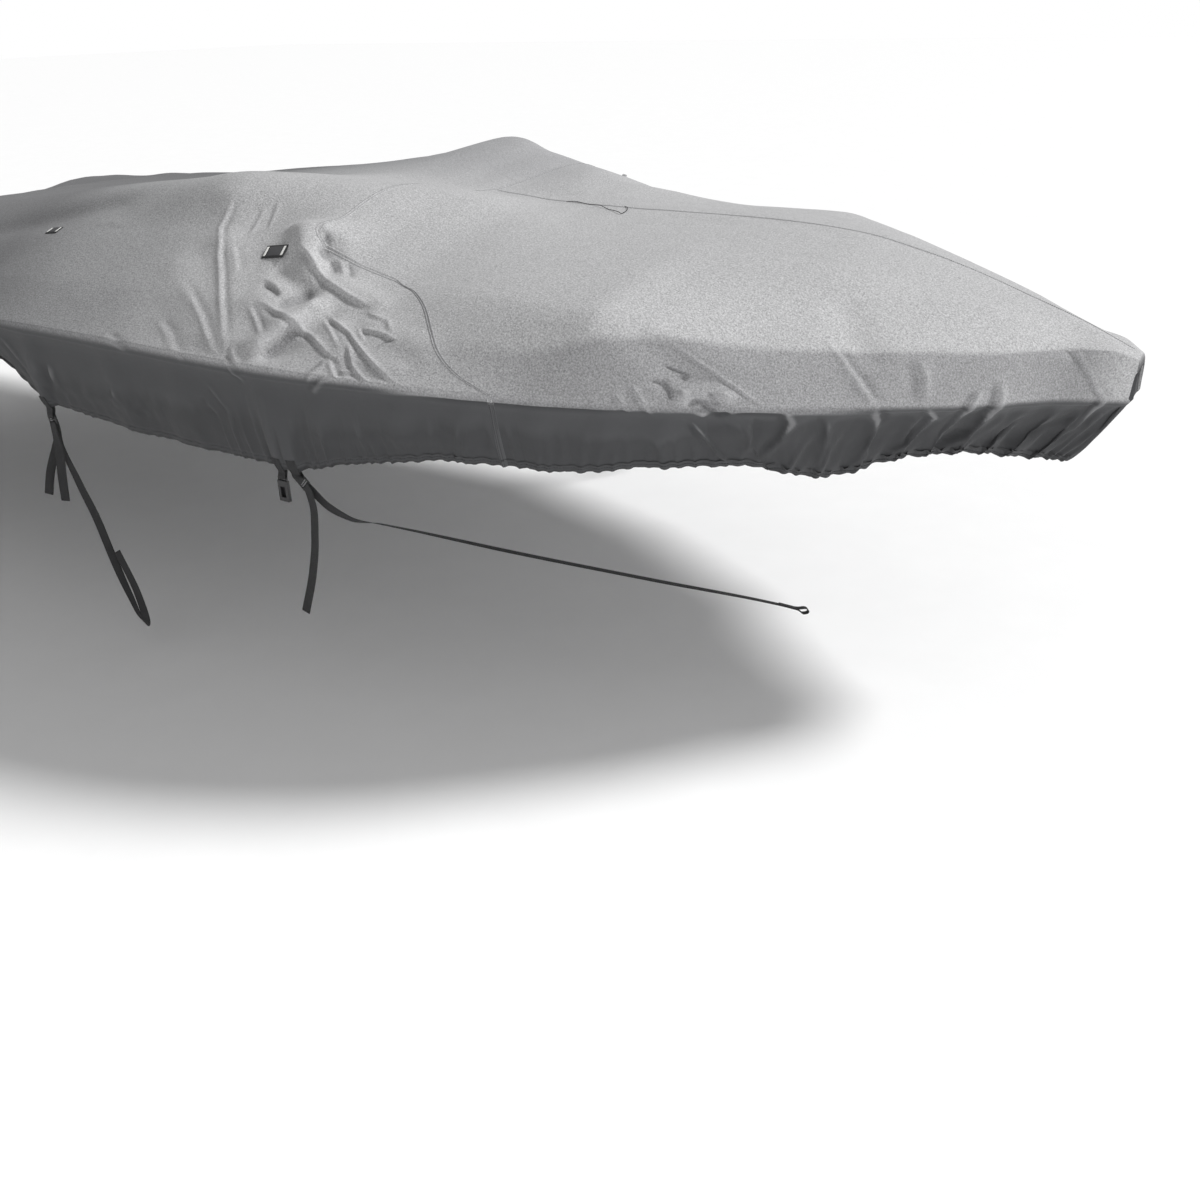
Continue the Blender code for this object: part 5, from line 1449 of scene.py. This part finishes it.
class PatchBed:                      # a flat bed that clears the cloth under a patch
    def __init__(self, aft, v, halfLong, halfAcross):
        side = 1.0 if v > 0 else -1.0
        shares = (np.linspace(-1, 1, count) for count in patchLook["grid"])
        a, b = (grid.ravel() for grid in np.meshgrid(*shares))
        bed = onCloth(aft + a * halfLong, v + side * b * halfAcross / drape["metresPerV"], 0.0)
        terms = np.stack([np.ones_like(a), a, b], 1)
        self.centre, along, across = np.linalg.lstsq(terms, bed, rcond=None)[0]
        self.out = units(np.cross(along, across))
        self.out = self.out if self.out[2] > 0 else -self.out
        self.along = units(along)
        self.across = np.cross(self.out, self.along)
        clear = float(np.quantile((bed - self.centre) @ self.out, patchLook["clear"]))
        self.centre = self.centre + self.out * (clear + patchLook["lift"])

    def at(self, along, across, up):
        return (self.centre + np.outer(along, self.along) + np.outer(across, self.across)
                + np.outer(up, self.out))


def ring(shares):                    # once round a square, corner to corner
    last = shares[-1]
    top = [(shares[0], b) for b in shares[:-1]]
    right = [(a, last) for a in shares[:-1]]
    bottom = [(last, b) for b in shares[:0:-1]]
    left = [(a, shares[0]) for a in shares[:0:-1]]
    return top + right + bottom + left


def patchPad(name, bed, centre, halfLong, halfAcross, lift, thick, material):
    places = ring(np.linspace(-1, 1, patchLook["steps"]))
    rings = np.array([(centre + a * (halfLong - inset * thick), b * (halfAcross - inset * thick), height)
                      for inset, height in padRings for a, b in places])
    made = bed.at(rings[:, 0], rings[:, 1], lift + rings[:, 2] * thick)
    faces = tubeFaces(len(padRings), len(places), hasStart=False)
    thing = makeMesh(name, placed(made), faces, material, uv=rings[:, :2])
    return facedOut(thing, thing.data.polygons[-1], bed.out)


patchPieces, patchParts = {}, {}
for node, (aft, v, halfLong, halfAcross) in patchRows.items():
    bed, thick = PatchBed(aft, v, halfLong, halfAcross), patchLook["thick"]
    patchPieces[node] = patchPad(camel(node), bed, 0.0, halfLong, halfAcross, 0.0, thick, webbingFinish)
    barAt, barHalf = patchLook["barAt"] * halfLong, patchLook["barHalf"] * halfLong
    patchParts[node] = []
    for end, centre, reach, material in (("BarOne", -barAt, barHalf, paleThread),
                                         ("BarTwo", barAt, barHalf, paleThread),
                                         ("Middle", 0.0, patchLook["middle"] * halfLong, darkGreyFinish)):
        wide = patchLook["barAcross"] * halfAcross
        part = patchPad(camel(node) + end, bed, centre, reach, wide, thick, patchLook["raise"], material)
        patchParts[node].append(part)
print("patches made")


# The loose thread that lies by the centre seam.
looseThread = {"radius": 0.0009, "lift": 0.0030, "wave": 0.0015, "waves": 60, "sides": 6, "steps": 90,
               "path": ((1.632, -0.014), (1.600, -0.006), (1.548, -0.009), (1.470, -0.050), (1.391, -0.098),
                        (1.400, -0.055), (1.425, -0.012), (1.445, 0.006))}


def threadTube():
    knots = np.array(looseThread["path"])
    length = runAlong(knots)
    at = np.linspace(0, length[-1], looseThread["steps"])
    aft, across = (smooth(at, length, knots[:, k]) for k in (0, 1))
    points, normal = clothPoints(lineThrough(aft, across), across, looseThread["lift"])[:2]
    points += normal * (looseThread["wave"] * np.sin(at * looseThread["waves"]))[:, None]
    centre = placed(points)
    ahead = np.gradient(centre, axis=0)
    made, sides = [], looseThread["sides"]
    for i in range(len(at)):
        a = units(np.cross(ahead[i], normal[i]))
        for turn in (2 * math.pi * j / sides for j in range(sides)):
            made.append(centre[i] + looseThread["radius"] * (a * math.cos(turn) + normal[i] * math.sin(turn)))
    thing = makeMesh("looseThread", made, tubeFaces(len(at), sides), darkThread)
    face = thing.data.polygons[0]
    return facedOut(thing, face, face.center - Vector(centre[0])), centre


threadPiece, threadLine = threadTube()
threadLength = float(runAlong(threadLine)[-1])


def settle(thing, node):
    if node:
        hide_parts(node)
    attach(thing, body)


flats = {"fore_panel_starboard": (1.55, 1.95), "fore_panel_port": (1.55, 1.95), "aft_panel": (3.30, 4.05)}
seamParts = seamPieces + [seamStitches, hemStitches]
for node, thing in panels.items():
    settle(thing, node)
for thing in seamParts:
    settle(thing, None)
settle(threadPiece, None)
for node, thing in panels.items():
    area, flat = sum(f.area for f in thing.data.polygons), flats[node]
    print(node, "area", round(area, 3), "flat", flat)
    min(area, flat[0] * flat[1])
for node, (thing, length) in {**tabPieces, **strapPieces}.items():
    settle(thing, node)
    if node in tabPieces:
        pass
    elif node == "short_end" or "port" in node:
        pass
    print(node, round(length, 3))
for node, thing in fittingPieces.items():
    settle(thing, node)
for node, thing in patchPieces.items():
    settle(thing, node)
    for extra in patchParts[node]:
        settle(extra, None)
    halfLong, halfAcross = patchRows[node][2:]
    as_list(patchParts[node])
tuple(threadLine[0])
[list(map(float, p)) for p in threadLine]


view = {"place": (2.5825, -3.1126, 0.4661), "yaw": 58.04, "pitch": 26.28, "roll": -1.46, "lens": 36.0,
        "sensor": 36.0, "far": 200}


def addCamera():
    camera = addObject("camera", bpy.data.cameras.new("camera"))
    yaw, pitch, roll = (math.radians(view[k]) for k in ("yaw", "pitch", "roll"))
    ahead = Vector((-math.cos(yaw) * math.cos(pitch), math.sin(yaw) * math.cos(pitch), -math.sin(pitch)))
    right = ahead.cross(Vector((0, 0, 1))).normalized()
    up = right.cross(ahead)
    turnedRight = right * math.cos(roll) + up * math.sin(roll)
    turnedUp = up * math.cos(roll) - right * math.sin(roll)
    axes = Matrix((turnedRight, turnedUp, -ahead)).transposed()
    camera.matrix_world = Matrix.Translation(view["place"]) @ axes.to_4x4()
    camera.data.sensor_width = view["sensor"]
    camera.data.lens = view["lens"]
    camera.data.clip_end = view["far"]
    bpy.context.scene.camera = camera


lights = {"key": 3.15, "keySoft": 13.0, "keyFrom": (0.46, 0.54, 0.70), "sky": 0.42,
          "fill": 60, "fillFrom": (4.4, -3.2, -0.55), "fillTo": (0.9, -0.9, -0.45), "fillSize": 1.2}


def addLights():
    sun = bpy.data.lights.new("key", "SUN")
    sun.energy, sun.angle = lights["key"], math.radians(lights["keySoft"])
    key = addObject("key", sun)
    key.matrix_world = Vector(lights["keyFrom"]).to_track_quat("Z", "Y").to_matrix().to_4x4()
    lamp = bpy.data.lights.new("fill", "AREA")
    lamp.energy, lamp.size = lights["fill"], lights["fillSize"]
    fill = addObject("fill", lamp)
    way = Vector(lights["fillTo"]) - Vector(lights["fillFrom"])
    fill.matrix_world = (Matrix.Translation(lights["fillFrom"])
                         @ way.to_track_quat("-Z", "Y").to_matrix().to_4x4())
    world = bpy.data.worlds.new("studio")
    bpy.context.scene.world = world
    world.use_nodes = True
    tree = world.node_tree
    sky = tree.nodes["Background"]
    sky.inputs["Color"].default_value = (1, 1, 1, 1)
    isSeen = tree.nodes.new("ShaderNodeLightPath").outputs["Is Camera Ray"]
    seen = maths(tree, "MULTIPLY", isSeen, 1.0 - lights["sky"])
    tree.links.new(maths(tree, "ADD", seen, lights["sky"]), sky.inputs["Strength"])
    bpy.context.scene.view_settings.view_transform = "Standard"


floor = {"gap": 0.06, "half": 60.0, "grain": (6.0, 4.0), "low": (0.88, 0.88, 0.88),
         "high": (0.92, 0.92, 0.92), "roughness": 0.9}


def addFloor():
    size, low = floor["half"], cadBox[0][2] - floor["gap"]
    points = [(-size, -size, low), (size, -size, low), (size, size, low), (-size, size, low)]
    material, tree, shader = newMaterial("pale floor", floor["roughness"])
    colour = mixColour(tree, noiseOf(tree, objectPlace(tree), *floor["grain"]), floor["low"], floor["high"])
    tree.links.new(colour, shader.inputs["Base Color"])
    makeMesh("floor", points, [(0, 1, 2, 3)], material, isSmooth=False)


addCamera()
addLights()
addFloor()
print("stage set")
